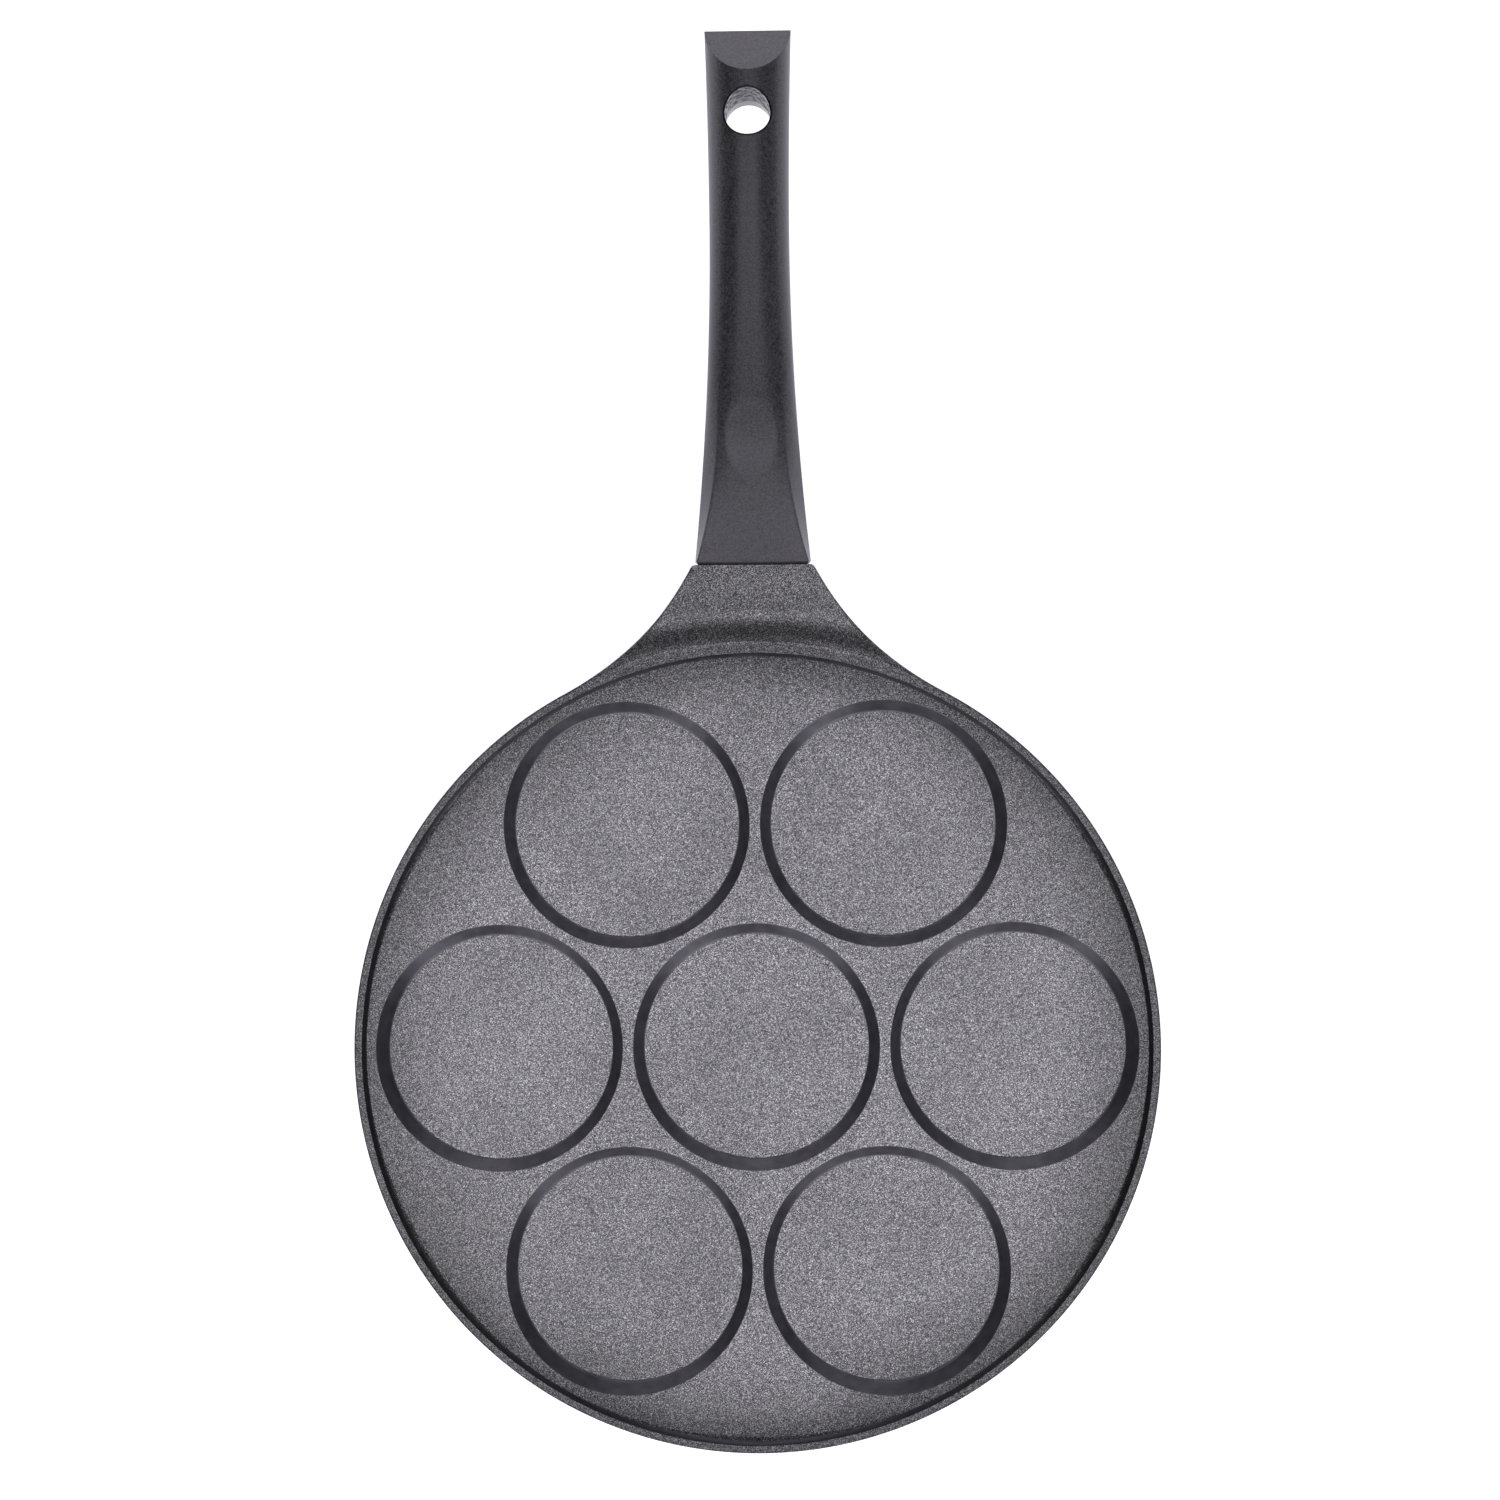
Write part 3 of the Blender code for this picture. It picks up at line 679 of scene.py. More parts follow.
@dataclass(frozen=True)
class PinPolish:
    """Wall of the hang hole over the parting line, glossy from the mould's pin and dull in patches."""

    name: str = "hole_wall_above"
    roughness: Span = (0.18, 0.60)
    patch: float = 0.0016
    patch_detail: float = 5.0
    patch_span: Span = (0.35, 0.65)
    dark: Colour = (0.006, 0.006, 0.0065)
    light: Colour = (0.07, 0.07, 0.075)
    relief: float = 0.00003
    relief_strength: float = 0.4

    def material(self) -> Material:
        """Spread colour, roughness and relief in the same patches.

        Returns:
            The material.
        """
        recipe = Recipe(self.name)
        patch = recipe.noise(self.patch, self.patch_detail)
        return recipe.dressed(
            {
                "Base Color": recipe.tones(patch, self.patch_span, self.dark, self.light),
                "Roughness": recipe.span(patch, self.patch_span, self.roughness),
                "Normal": recipe.bump(patch, self.relief, self.relief_strength),
            }
        )


@dataclass(frozen=True)
class LowerPinPolish(PinPolish):
    """The same wall under the parting line, where it is glossier."""

    name: str = "hole_wall_below"
    roughness: Span = (0.10, 0.22)


@dataclass(frozen=True)
class ZincPlate:
    """Bright zinc on the screw and its washers, slightly clouded."""

    cloud: float = 0.0009
    cloud_detail: float = 4.0
    pits_per_cloud: int = 8
    dark: Colour = (0.48, 0.49, 0.50)
    light: Colour = (0.70, 0.70, 0.68)
    roughness: Span = (0.24, 0.42)
    relief: float = 0.00001
    relief_strength: float = 0.3

    def material(self) -> Material:
        """Cloud the colour and the roughness together, and pit the surface finely.

        Returns:
            The material.
        """
        recipe = Recipe("zinc_plate")
        cloud = recipe.noise(self.cloud, self.cloud_detail)
        pits = recipe.noise(self.cloud / self.pits_per_cloud)
        return recipe.dressed(
            {
                "Base Color": recipe.tones(cloud, NOISE_SPAN, self.dark, self.light),
                "Metallic": 1.0,
                "Roughness": recipe.span(cloud, NOISE_SPAN, self.roughness),
                "Normal": recipe.bump(pits, self.relief, self.relief_strength),
            }
        )


@dataclass(frozen=True)
class Seam:
    """The joint between neck and handle: where its top is, how it leans and how the handle leaves it."""

    distance: float = 0.1559
    height: float = 0.0169
    tilt: float = math.radians(5)
    slope: float = math.radians(16)
    gap: float = 0.00035
    crown: float = 0.008
    belly: float = 0.006

    @property
    def up(self) -> Array:
        """Direction up the seam's face."""
        return np.array([0, -math.sin(self.tilt), math.cos(self.tilt)])

    @property
    def parting(self) -> Array:
        """Point of the neck's end at the height of the handle's parting line."""
        return np.array([0, self.distance, self.height]) - self.up * self.crown

    @property
    def handle_start(self) -> Array:
        """Point where the handle's parting line starts, a gap away from the neck."""
        return self.parting + np.array([0, math.cos(self.tilt), math.sin(self.tilt)]) * self.gap


@dataclass(frozen=True)
class Tang:
    """The casting's flat tongue in the handle's socket, with the hole that its screw goes through."""

    seam: Seam
    length: float = 0.034
    width: float = 0.015
    thickness: float = 0.004
    rise: float = 0.0024
    overlap: float = 0.0005
    tip_chamfer: float = 0.002
    edge_rounding: float = 0.0004
    clearance: float = 0.0003
    screw_at: float = 0.014
    screw_diameter: float = 0.004
    screw_clearance: float = 0.0003
    hole_segments: int = 64
    sharp: float = math.radians(40)

    @property
    def frame(self) -> Matrix:
        """Frame of the tang: origin at the seam, Y along it, Z square to it."""
        return Matrix.Translation(self.seam.parting) @ Matrix.Rotation(self.seam.slope, 4, "X")

    @property
    def screw_frame(self) -> Matrix:
        """Frame of the screw: Z along its axis."""
        return self.frame @ Matrix.Translation((0, self.screw_at, 0))

    @property
    def hole_radius(self) -> float:
        """Radius of the holes that the screw goes through."""
        return self.screw_diameter / 2 + self.screw_clearance

    def solid(self, grow: float) -> Array:
        """The tang as a rounded slab with a chamfered tip, or with a clearance the shape of its socket.

        Args:
            grow: clearance added all round.

        Returns:
            Points of (rows, corners, 3).
        """
        half, tip, chamfer = self.width / 2 + grow, self.length + grow, self.tip_chamfer
        outline = [
            (-half, -self.overlap),
            (half, -self.overlap),
            (half, tip - chamfer),
            (half - chamfer, tip),
            (-half + chamfer, tip),
            (-half, tip - chamfer),
        ]
        thick = self.thickness / 2 + grow
        return placed(slab(outline, self.rise - thick, self.rise + thick, self.edge_rounding), self.frame)

    def bore(self, radius: float, low: float, high: float) -> Array:
        """A round tool along the screw's axis."""
        profile = [(0, low), (radius, low), (radius, high), (0, high)]
        return placed(lathe(profile, self.hole_segments), self.screw_frame)

    def build(self, finish: Material) -> None:
        """Build the tang with its screw hole.

        Args:
            finish: its material.
        """
        obj = grid_piece("pan_tang", [finish], self.solid(0))
        cut_away(obj, self.bore(self.hole_radius, self.rise - self.thickness, self.rise + self.thickness))
        finish_piece(obj, Slot.COATING, self.sharp, "pan_body")


@dataclass(frozen=True)
class Casting:
    """The cast body: one skin from the moulds' floors over the lands, the rim and the neck to the base.

    Reaches of an edge, a crease or a brow count its own rounding, and shares are of the top's run from the
    step to the outline. The fields after these count the rows and columns of the mesh on its parts.
    """

    seam: Seam
    rim_radius: float = 0.130
    rim_width: float = 0.0025
    rim_rounding: float = 0.0007
    lip_height: float = 0.0057
    lip_rounding: float = 0.003
    base_radius: float = 0.113
    base_rounding: float = 0.006
    base_thickness: float = 0.007
    step_height: float = 0.0019
    step_draft: float = 0.0011
    step_rounding: float = 0.0002
    cove_start: float = 0.097
    cove_rise: float = 0.0026
    cove_power: float = 3.0
    moulds_around: int = 6
    mould_pitch: float = 0.0833
    mould_depth: float = 0.004
    mould_floor_radius: float = 0.03665
    mould_top_radius: float = 0.03995
    mould_floor_rounding: float = 0.0012
    mould_edge_rounding: float = 0.0004
    neck_width: float = 0.0394
    neck_ledge: float = 0.0013
    neck_hollow_radius: float = 0.0116
    neck_edge_radius: float = 0.001
    neck_end_radius: float = 0.0003
    neck_foot_radius: float = 0.0018
    neck_corner_blend: float = 0.0012
    neck_side_draft: float = math.radians(3)
    neck_root_height: float = 0.0034
    neck_root_radius: float = 0.006
    neck_underside_dip: float = 0.0008
    wall_mark_height: float = 0.007
    flare_radius: float = 0.1012
    crease_blend: float = 0.00008
    mould_edge_reach: float = 3.0
    crease_reach: float = 3.0
    crease_share: float = 0.2
    ledge_share: float = 0.7
    brow_reach: float = 1.3
    brow_far_reach: float = 2.5
    sharp: float = math.radians(50)
    floor_rows: int = 5
    mould_wall_rows: int = 3
    land_rows: int = 14
    cell_arc_columns: int = 60
    cell_side_columns: int = 40
    cell_inner_columns: int = 20
    neck_end_columns: int = 12
    neck_end_spread: float = math.radians(0.6)
    neck_flank_columns: int = 17
    neck_flank_spread: float = math.radians(0.9)
    ledge_rows: int = 5
    crease_rows: int = 8
    neck_rows: int = 28
    neck_row_growth: float = 1.15
    side_rows: int = 6
    underside_rows: int = 14
    wall_rows: int = 4
    base_rows: int = 24

    @property
    def land_height(self) -> float:
        """Height of the lands between the moulds."""
        return self.base_thickness + self.mould_depth

    @property
    def rim_top(self) -> float:
        """Height of the rim's flat top."""
        return self.land_height + self.cove_rise + self.step_height

    @property
    def lip_foot(self) -> float:
        """Height of the corner where the upright lip turns into the slanting wall."""
        return self.rim_top - self.lip_height

    @property
    def step_radius(self) -> float:
        """Radius of the inner edge of the rim's top."""
        return self.rim_radius - self.rim_width

    @property
    def cove_outer_radius(self) -> float:
        """Radius of the foot of the step inside the rim."""
        return self.step_radius - self.step_draft

    @property
    def half_cell(self) -> float:
        """Half of the angle that one mould's cell takes round the pan."""
        return math.pi / self.moulds_around

    def cell_turn(self, index: int) -> float:
        """Angle from +X to the middle of a mould's cell."""
        return 2 * self.half_cell * index

    @property
    def neck_corner(self) -> float:
        """Angle from the handle's direction to the neck's corner."""
        return math.atan2(self.neck_width / 2, self.seam.distance)

    @property
    def neck_corner_radius(self) -> float:
        """Distance of the neck's corner from the pan's centre."""
        return math.hypot(self.neck_width / 2, self.seam.distance)

    @property
    def neck_reach(self) -> float:
        """How far the neck's corner lies outside the rim."""
        return self.neck_corner_radius - self.rim_radius

    @property
    def flare_bearing(self) -> float:
        """Angle from the handle's direction to where the neck's edge leaves the rim, by the cosine rule."""
        reach, corner = self.rim_radius + self.flare_radius, self.neck_corner_radius
        closeness = (reach**2 + corner**2 - self.flare_radius**2) / (2 * reach * corner)
        return self.neck_corner + math.acos(closeness)

    def inner_height(self, radius: Array) -> Array:
        """Height of the lands and the cove: level, then a power of the way to the cove's outer edge."""
        share = (radius - self.cove_start) / (self.cove_outer_radius - self.cove_start)
        return self.land_height + self.cove_rise * np.clip(share, 0, 1) ** self.cove_power

    def mould(self, centre: float, border: Array) -> tuple[Array, Array]:
        """One mould and the lands round it, as rays from the middle of its floor to the border of its cell.

        Each ray is level to the floor's edge, climbs the wall in a straight line to the lands, and then
        keeps to the lands and the cove. Both corners are rounded.

        Args:
            centre: distance of the mould's centre from the pan's, along X.
            border: plan points of the cell's border, (n, 2).

        Returns:
            The grid of points, and the kind of each row of faces.
        """
        way = border - np.array([centre, 0])
        reach = np.linalg.norm(way, axis=1)
        way = way / reach[:, None]

        def floor(distance: Array) -> Array:
            """Points of the floor, at a distance along each ray."""
            return stack(centre + way[:, 0] * distance, way[:, 1] * distance, self.base_thickness)

        def land(distance: Array) -> Array:
            """Points of the lands, at a distance along each ray."""
            x, y = centre + way[:, 0] * distance, way[:, 1] * distance
            return stack(x, y, self.inner_height(np.hypot(x, y)))

        middle, foot, edge = floor(0), floor(self.mould_floor_radius), land(self.mould_top_radius)
        beyond = self.mould_top_radius + self.mould_edge_reach * self.mould_edge_rounding
        low = rounded(middle, foot, edge, self.mould_floor_rounding)
        high = rounded(foot, edge, land(beyond), self.mould_edge_rounding)
        start = np.linalg.norm(high[-1, :, :2] - np.array([centre, 0]), axis=1)
        outer = [land(mix(start, reach, t)) for t in np.linspace(0, 1, self.land_rows + 1)[1:]]
        level = straight(middle, low[0], self.floor_rows)
        wall = straight(low[-1], high[0], self.mould_wall_rows)
        grid = np.concatenate([middle[None], level, low, wall, high, np.stack(outer)])
        kinds = np.full(len(grid) - 1, Skin.SPECKLED.value)
        third = ROUND_STEPS // 3
        first = len(level) + 1 + third
        kinds[first : first + len(low) + len(wall) + third] = Skin.SMOOTH.value
        return grid, kinds

    def arc_angles(self, index: int) -> Array:
        """Angles of the points on a cell's outer arc, closer together at the neck's corners.

        Args:
            index: number of the mould, counted from +X.

        Returns:
            Angles from the mould's own direction, rising.
        """
        angles = [np.linspace(-self.half_cell, self.half_cell, self.cell_arc_columns + 1)]
        along_end = np.linspace(0, 1, self.neck_end_columns + 1) * self.neck_end_spread
        along_flank = -np.linspace(0, 1, self.neck_flank_columns + 1) ** 2 * self.neck_flank_spread
        near = np.concatenate([along_end, along_flank])
        for side in (-1, 1):
            corner = math.pi / 2 + side * self.neck_corner - self.cell_turn(index)
            if abs(corner) < self.half_cell:
                angles.append(corner - side * near)
        return np.unique(np.concatenate(angles).round(ANGLE_DIGITS))

    def cell_border(self, index: int) -> Array:
        """Plan points round a mould's cell, for the mould on +X: outer arc, side, inner arc and side.

        Args:
            index: number of the mould, counted from +X.

        Returns:
            Points of (n, 2), in order and not closed.
        """
        inner, outer = self.mould_pitch / 2, self.cove_outer_radius
        side = mix(outer, inner, np.linspace(0, 1, self.cell_side_columns + 1))[1:-1]
        inner_angles = np.linspace(self.half_cell, -self.half_cell, self.cell_inner_columns + 1)
        stretches = (
            (outer, self.arc_angles(index)),
            (side, self.half_cell),
            (inner, inner_angles),
            (side[::-1], -self.half_cell),
        )
        return np.concatenate([polar(radius, angle, 0)[:, :2] for radius, angle in stretches])

    def add_inside(self, surface: Surface) -> None:
        """Add the moulds with their lands: a ring of equal cells round the cell in the middle.

        Args:
            surface: the surface that they are added to.
        """
        for index in range(self.moulds_around):
            turn = np.array(Matrix.Rotation(self.cell_turn(index), 3, "Z"))
            grid, kinds = self.mould(self.mould_pitch, self.cell_border(index))
            surface.add(grid @ turn.T, kinds)
        bearings = self.half_cell + circle(self.cell_inner_columns * self.moulds_around)
        border = polar(self.mould_pitch / 2, bearings, 0)[:, :2]
        surface.add(*self.mould(0.0, border))

    def outline(self, angle: Array) -> Array:
        """Plan points of the pan's outline in given directions from its centre.

        The rim is a circle. Towards the handle the outline leaves it along the flare, an arc that curves the
        other way, and ends at the neck's straight end, with a soft corner. Each point is found by halving
        the stretch of its ray in which the distance to the nearer of the two turns negative.

        Args:
            angle: directions, from +X.

        Returns:
            Points of (n, 2).
        """
        ray = np.stack([np.cos(angle), np.sin(angle)], axis=-1)
        turned = np.arccos(np.clip(ray[:, 1], -1, 1))
        reach = self.rim_radius + self.flare_radius
        centre = reach * np.array([math.sin(self.flare_bearing), math.cos(self.flare_bearing)])
        low = np.full(len(angle), self.rim_radius)
        high = np.full(len(angle), self.neck_corner_radius)
        for _ in range(HALVINGS):
            middle = (low + high) / 2
            x, y = np.abs(ray[:, 0]) * middle, ray[:, 1] * middle
            flank = np.hypot(x - centre[0], y - centre[1]) - self.flare_radius
            inside = soft_least(self.seam.distance - y, flank, self.neck_corner_blend) > 0
            low, high = np.where(inside, middle, low), np.where(inside, high, middle)
        radius = np.where(turned < self.flare_bearing, low, self.rim_radius)
        return ray * radius[:, None]

    def neck_height(self, plan: Array) -> Array:
        """Height of the rim's and neck's top.

        It depends on one distance, which is the radius at the rim and turns into y towards the seam: level
        up to the ledge's end, a hollow arc down and up again, and a straight rise that the arc runs into.

        Args:
            plan: points of (..., 2).

        Returns:
            Their heights.
        """
        x, y = plan[..., 0], plan[..., 1]
        radius = np.hypot(x, y)
        start = self.rim_radius + self.neck_ledge
        distance = mix(radius, y, ease((radius - start) / (self.seam.distance - start)))
        rise = np.array([math.cos(self.seam.slope), math.sin(self.seam.slope)])
        square = np.array([-rise[1], rise[0]])
        end = np.array([self.seam.distance, self.seam.height])
        ledge = np.array([start, self.rim_top])
        hollow = self.neck_hollow_radius
        lift = (ledge - end) @ square
        meeting = ledge - square * lift + rise * math.sqrt(hollow**2 - (hollow - lift) ** 2)
        centre = meeting + square * hollow
        arc = centre[1] - np.sqrt(np.maximum(hollow**2 - (distance - centre[0]) ** 2, 0))
        line = end[1] + (distance - end[0]) * math.tan(self.seam.slope)
        falling = np.where(distance < start - self.neck_ledge, self.rim_top + hollow, arc)
        first = soft_least(self.rim_top, falling, self.crease_blend)
        return np.where(distance < centre[0], first, np.where(distance < meeting[0], arc, line))

    def dip(self, points: Array) -> Array:
        """How far the neck's underside bows down: an arch from the rim to the seam."""
        share = (np.linalg.norm(points[..., :2], axis=-1) - self.rim_radius) / self.neck_reach
        return self.neck_underside_dip * arch(ease(share))

    def add_outside(self, surface: Surface) -> None:
        """Add the skin from the foot of the step over the rim and the neck and down to the base's centre.

        Each column is a path through a few corners: the foot and the brink of the step, the outer edge of
        the top, the foot of the side, the root of the neck on the slanting wall, and the edge of the base.

        Args:
            surface: the surface that it is added to.
        """
        cells = [self.arc_angles(i)[:-1] + self.cell_turn(i) for i in range(self.moulds_around)]
        angle = np.concatenate(cells)
        ray = np.stack([np.cos(angle), np.sin(angle)], axis=-1)
        edge = self.outline(angle)
        tangent = self.outline(angle + SMALL_TURN) - self.outline(angle - SMALL_TURN)
        normal = np.stack([tangent[:, 1], -tangent[:, 0]], axis=-1)
        normal /= np.linalg.norm(normal, axis=1, keepdims=True)
        outward = np.linalg.norm(edge, axis=1) - self.rim_radius
        share = ease(outward / self.neck_reach)
        begun = ease(outward / (2 * self.neck_ledge))
        ended = ease((edge[:, 1] - self.seam.distance) / self.neck_corner_blend + 1)

        def on_ray(radius: Array, height: Array) -> Array:
            """Points at a distance and a height in each column's direction."""
            return stack(ray[:, 0] * radius, ray[:, 1] * radius, height)

        def on_top(plan: Array) -> Array:
            """Points of the top over points of the plan."""
            return stack(plan[..., 0], plan[..., 1], self.neck_height(plan))

        foot = on_ray(self.cove_outer_radius, self.inner_height(self.cove_outer_radius))
        brink = on_ray(self.step_radius, self.rim_top)
        beyond = on_ray(self.step_radius + self.rim_width / 4, self.rim_top)
        step = rounded(foot, brink, beyond, self.step_rounding)

        rounding = mix(mix(self.rim_rounding, self.neck_edge_radius, begun), self.neck_end_radius, ended)
        stop = edge - normal * rounding[:, None] * self.brow_reach
        start = step[-1][:, :2]
        run = np.linalg.norm(stop - start, axis=1)
        to_ledge = self.rim_radius + self.neck_ledge - np.linalg.norm(start, axis=1)
        # Rows crowd round the crease at the ledge's end, and grow apart from there to the brow.
        margin = np.minimum(self.crease_reach * self.crease_blend / run, self.crease_share)
        mark = np.minimum(to_ledge / run, self.ledge_share)
        growing = np.linspace(0, 1, self.neck_rows + 1)[1:, None] ** self.neck_row_growth
        fractions = np.concatenate(
            [
                np.linspace(0, 1, self.ledge_rows + 1)[1:-1, None] * (mark - margin),
                mark + np.linspace(-1, 1, self.crease_rows + 1)[:, None] * margin,
                mix(mark + margin, 1, growing),
            ]
        )
        top = on_top(mix(start, stop, fractions[..., None]))

        brow = on_top(edge)
        below = mix(self.lip_foot, self.seam.height - (self.seam.crown + self.seam.belly), share)
        drop = brow[:, 2] - below
        draft = drop * math.tan(self.neck_side_draft) * begun
        inward = -normal * (1 - ended)[:, None]
        inward[:, 0] -= edge[:, 0] / (self.neck_width / 2) * ended
        lean = share * math.tan(self.seam.tilt) * drop
        side_foot = edge + inward * draft[:, None]
        corner = stack(side_foot[:, 0], side_foot[:, 1] + lean, below)
        flank = np.minimum(np.arccos(np.clip(ray[:, 1], -1, 1)) / self.flare_bearing, 1)
        root_height = mix(self.neck_root_height, self.wall_mark_height, flank**2)
        spread = (self.rim_radius - self.base_radius) / self.lip_foot
        root = on_ray(self.base_radius + root_height * spread, root_height)
        base_edge, centre = on_ray(self.base_radius, 0), on_ray(0, 0)

        inner = on_top(edge - normal * rounding[:, None] * self.brow_far_reach)
        brow_curve = rounded(inner, brow, corner, rounding)
        foot_curve = rounded(brow, corner, root, mix(self.lip_rounding, self.neck_foot_radius, begun))
        root_curve = rounded(corner, root, base_edge, self.neck_root_radius)
        base_curve = rounded(root, base_edge, centre, self.base_rounding)
        under = straight(foot_curve[-1], root_curve[0], self.underside_rows)
        for rows in (foot_curve, under, root_curve):
            rows[..., 2] -= self.dip(rows)
        side = straight(brow_curve[-1], foot_curve[0], self.side_rows)
        wall = straight(root_curve[-1], base_curve[0], self.wall_rows)
        coated = [foot[None], step, top, brow_curve, side, foot_curve, under, root_curve, wall, base_curve]
        bare = [straight(base_curve[-1], centre, self.base_rows), centre[None]]
        grid = np.concatenate([*coated, *bare])
        kinds = np.full(len(grid) - 1, Skin.SPECKLED.value)
        kinds[0] = Skin.SMOOTH.value
        kinds[sum(len(rows) for rows in coated) - 1 :] = Skin.TURNED.value
        surface.add(grid, kinds)

    def build(self, finishes: list[Material]) -> None:
        """Build the skin of the casting.

        Args:
            finishes: speckled coating, smooth coating and turned aluminium.
        """
        surface = Surface()
        self.add_inside(surface)
        self.add_outside(surface)
        obj = surface.piece("cast_body", finishes)
        finish_piece(obj, Slot.COATING, self.sharp, "pan_body")


@dataclass(frozen=True)
class Fastening:
    """The screw with its flat washer and its split spring washer, in the tang's counterbore from below."""

    tang: Tang
    seat_wall: float = 0.0015
    gap: float = 0.0002
    head_diameter: float = 0.008
    head_height: float = 0.0022
    head_rounding: float = 0.0016
    cross_width: float = 0.0011
    cross_length: float = 0.0044
    cross_depth: float = 0.0013
    cross_rounding: float = 0.00012
    short_of_top: float = 0.0005
    tip_chamfer: float = 0.0005
    thread_pitch: float = 0.0007
    thread_depth: float = 0.0004
    flat_diameter: float = 0.009
    flat_thickness: float = 0.0008
    spring_diameter: float = 0.0076
    spring_thickness: float = 0.001
    spring_split: float = math.radians(14)
    spring_slant: float = math.radians(4)
    bore_clearance: float = 0.0005
    fillet: float = 0.00012
    segments: int = 96
    thread_rows: int = 120
    sharp: float = math.radians(40)

    @property
    def seat(self) -> float:
        """Height of the counterbore's face, which the flat washer presses on."""
        return self.tang.rise - self.tang.thickness / 2 - self.tang.clearance - self.seat_wall

    @property
    def flat_top(self) -> float:
        """Height of the flat washer's upper face."""
        return self.seat - self.gap

    @property
    def spring_top(self) -> float:
        """Height of the spring washer's upper face."""
        return self.flat_top - self.flat_thickness - self.gap

    @property
    def bore_radius(self) -> float:
        """Radius of the counterbore."""
        return self.flat_diameter / 2 + self.bore_clearance

    def shank(self, low: float, high: float) -> Array:
        """The threaded shank: its radius swings evenly with height less a share of the turn.

        The thread fades out towards both ends, and the tip is chamfered.

        Args:
            low: height under the head.
            high: height of the tip.

        Returns:
            Points of (rows, segments, 3).
        """
        height = np.linspace(low, high, self.thread_rows + 1)[:, None]
        angle = circle(self.segments)
        swing = np.abs(2 * ((height / self.thread_pitch - angle / (2 * math.pi)) % 1) - 1)
        from_head = np.minimum((height - low) / self.thread_pitch, 1)
        from_tip = np.minimum((high - height) / self.tip_chamfer, 1)
        chamfer = self.tip_chamfer - np.minimum(high - height, self.tip_chamfer)
        depth = self.thread_depth * swing * (from_head * from_tip)
        return polar(self.tang.screw_diameter / 2 - chamfer - depth, angle, height)

    def screw(self, finish: Material) -> None:
        """Build the pan-head screw, its head rounded and crossed, its shank threaded.

        Args:
            finish: its material.
        """
        under = self.spring_top - self.spring_thickness - self.gap
        face = under - self.head_height
        tip = self.tang.rise + self.tang.thickness / 2 - self.short_of_top
        radius = self.head_diameter / 2
        brim = rounded_bend([(0, face), (radius, face), (radius, under)], self.head_rounding)
        head = lathe([(0, face), *brim, (radius, under)], self.segments)
        shank = self.shank(under, tip)
        middle = shank[-1:] * np.array([0, 0, 1])
        grid = np.concatenate([head, shank, middle])
        obj = grid_piece("screw", [finish], placed(grid, self.tang.screw_frame))
        half, arm = self.cross_width / 2, self.cross_length / 2
        outline = []
        for cosine, sine in ((1, 0), (0, 1), (-1, 0), (0, -1)):
            quarter = [(half, -arm), (half, -half), (arm, -half)]
            outline += [(x * cosine - y * sine, x * sine + y * cosine) for x, y in quarter]
        cross = slab(outline, face - self.cross_depth, face + self.cross_depth, self.cross_rounding)
        cut_away(obj, placed(cross, self.tang.screw_frame))
        finish_piece(obj, Slot.STEEL, self.sharp, "handle_screw")

    def washer_section(self, outer: float, top: float, thickness: float) -> Profile:
        """Section of a washer on the screw: a rectangle with rounded corners.

        Args:
            outer: its outer radius.
            top: height of its upper face.
            thickness: its thickness.

        Returns:
            (radius, height) pairs.
        """
        inner, foot = self.tang.hole_radius, top - thickness
        return filleted([(outer, top), (outer, foot), (inner, foot), (inner, top)], self.fillet)

    def flat_washer(self, finish: Material) -> None:
        """Build the flat washer, turned from its section.

        Args:
            finish: its material.
        """
        section = self.washer_section(self.flat_diameter / 2, self.flat_top, self.flat_thickness)
        grid = placed(lathe(section, self.segments), self.tang.screw_frame)
        obj = grid_piece("washer_flat", [finish], grid)
        finish_piece(obj, Slot.STEEL, self.sharp, "flat_washer")

    def spring_washer(self, finish: Material) -> None:
        """Build the spring washer: its section carried round to a slanting cut, and both ends closed.

        Args:
            finish: its material.
        """
        section = self.washer_section(self.spring_diameter / 2, self.spring_top, self.spring_thickness)
        radius, height = np.array(section).T
        foot = self.spring_top - self.spring_thickness
        slant = self.spring_slant * (2 * (height - foot) / (self.spring_top - foot) - 1)
        first = self.spring_split / 2
        turn = np.linspace(first, 2 * math.pi - first, self.segments + 1)[:, None] + slant
        rows = polar(radius, turn, height)
        ends = [np.broadcast_to(row.mean(axis=0), row.shape)[None] for row in (rows[0], rows[-1])]
        grid = placed(np.concatenate([ends[0], rows, ends[1]]), self.tang.screw_frame)
        obj = grid_piece("washer_spring", [finish], grid, loop=False)
        finish_piece(obj, Slot.STEEL, self.sharp, "spring_washer")


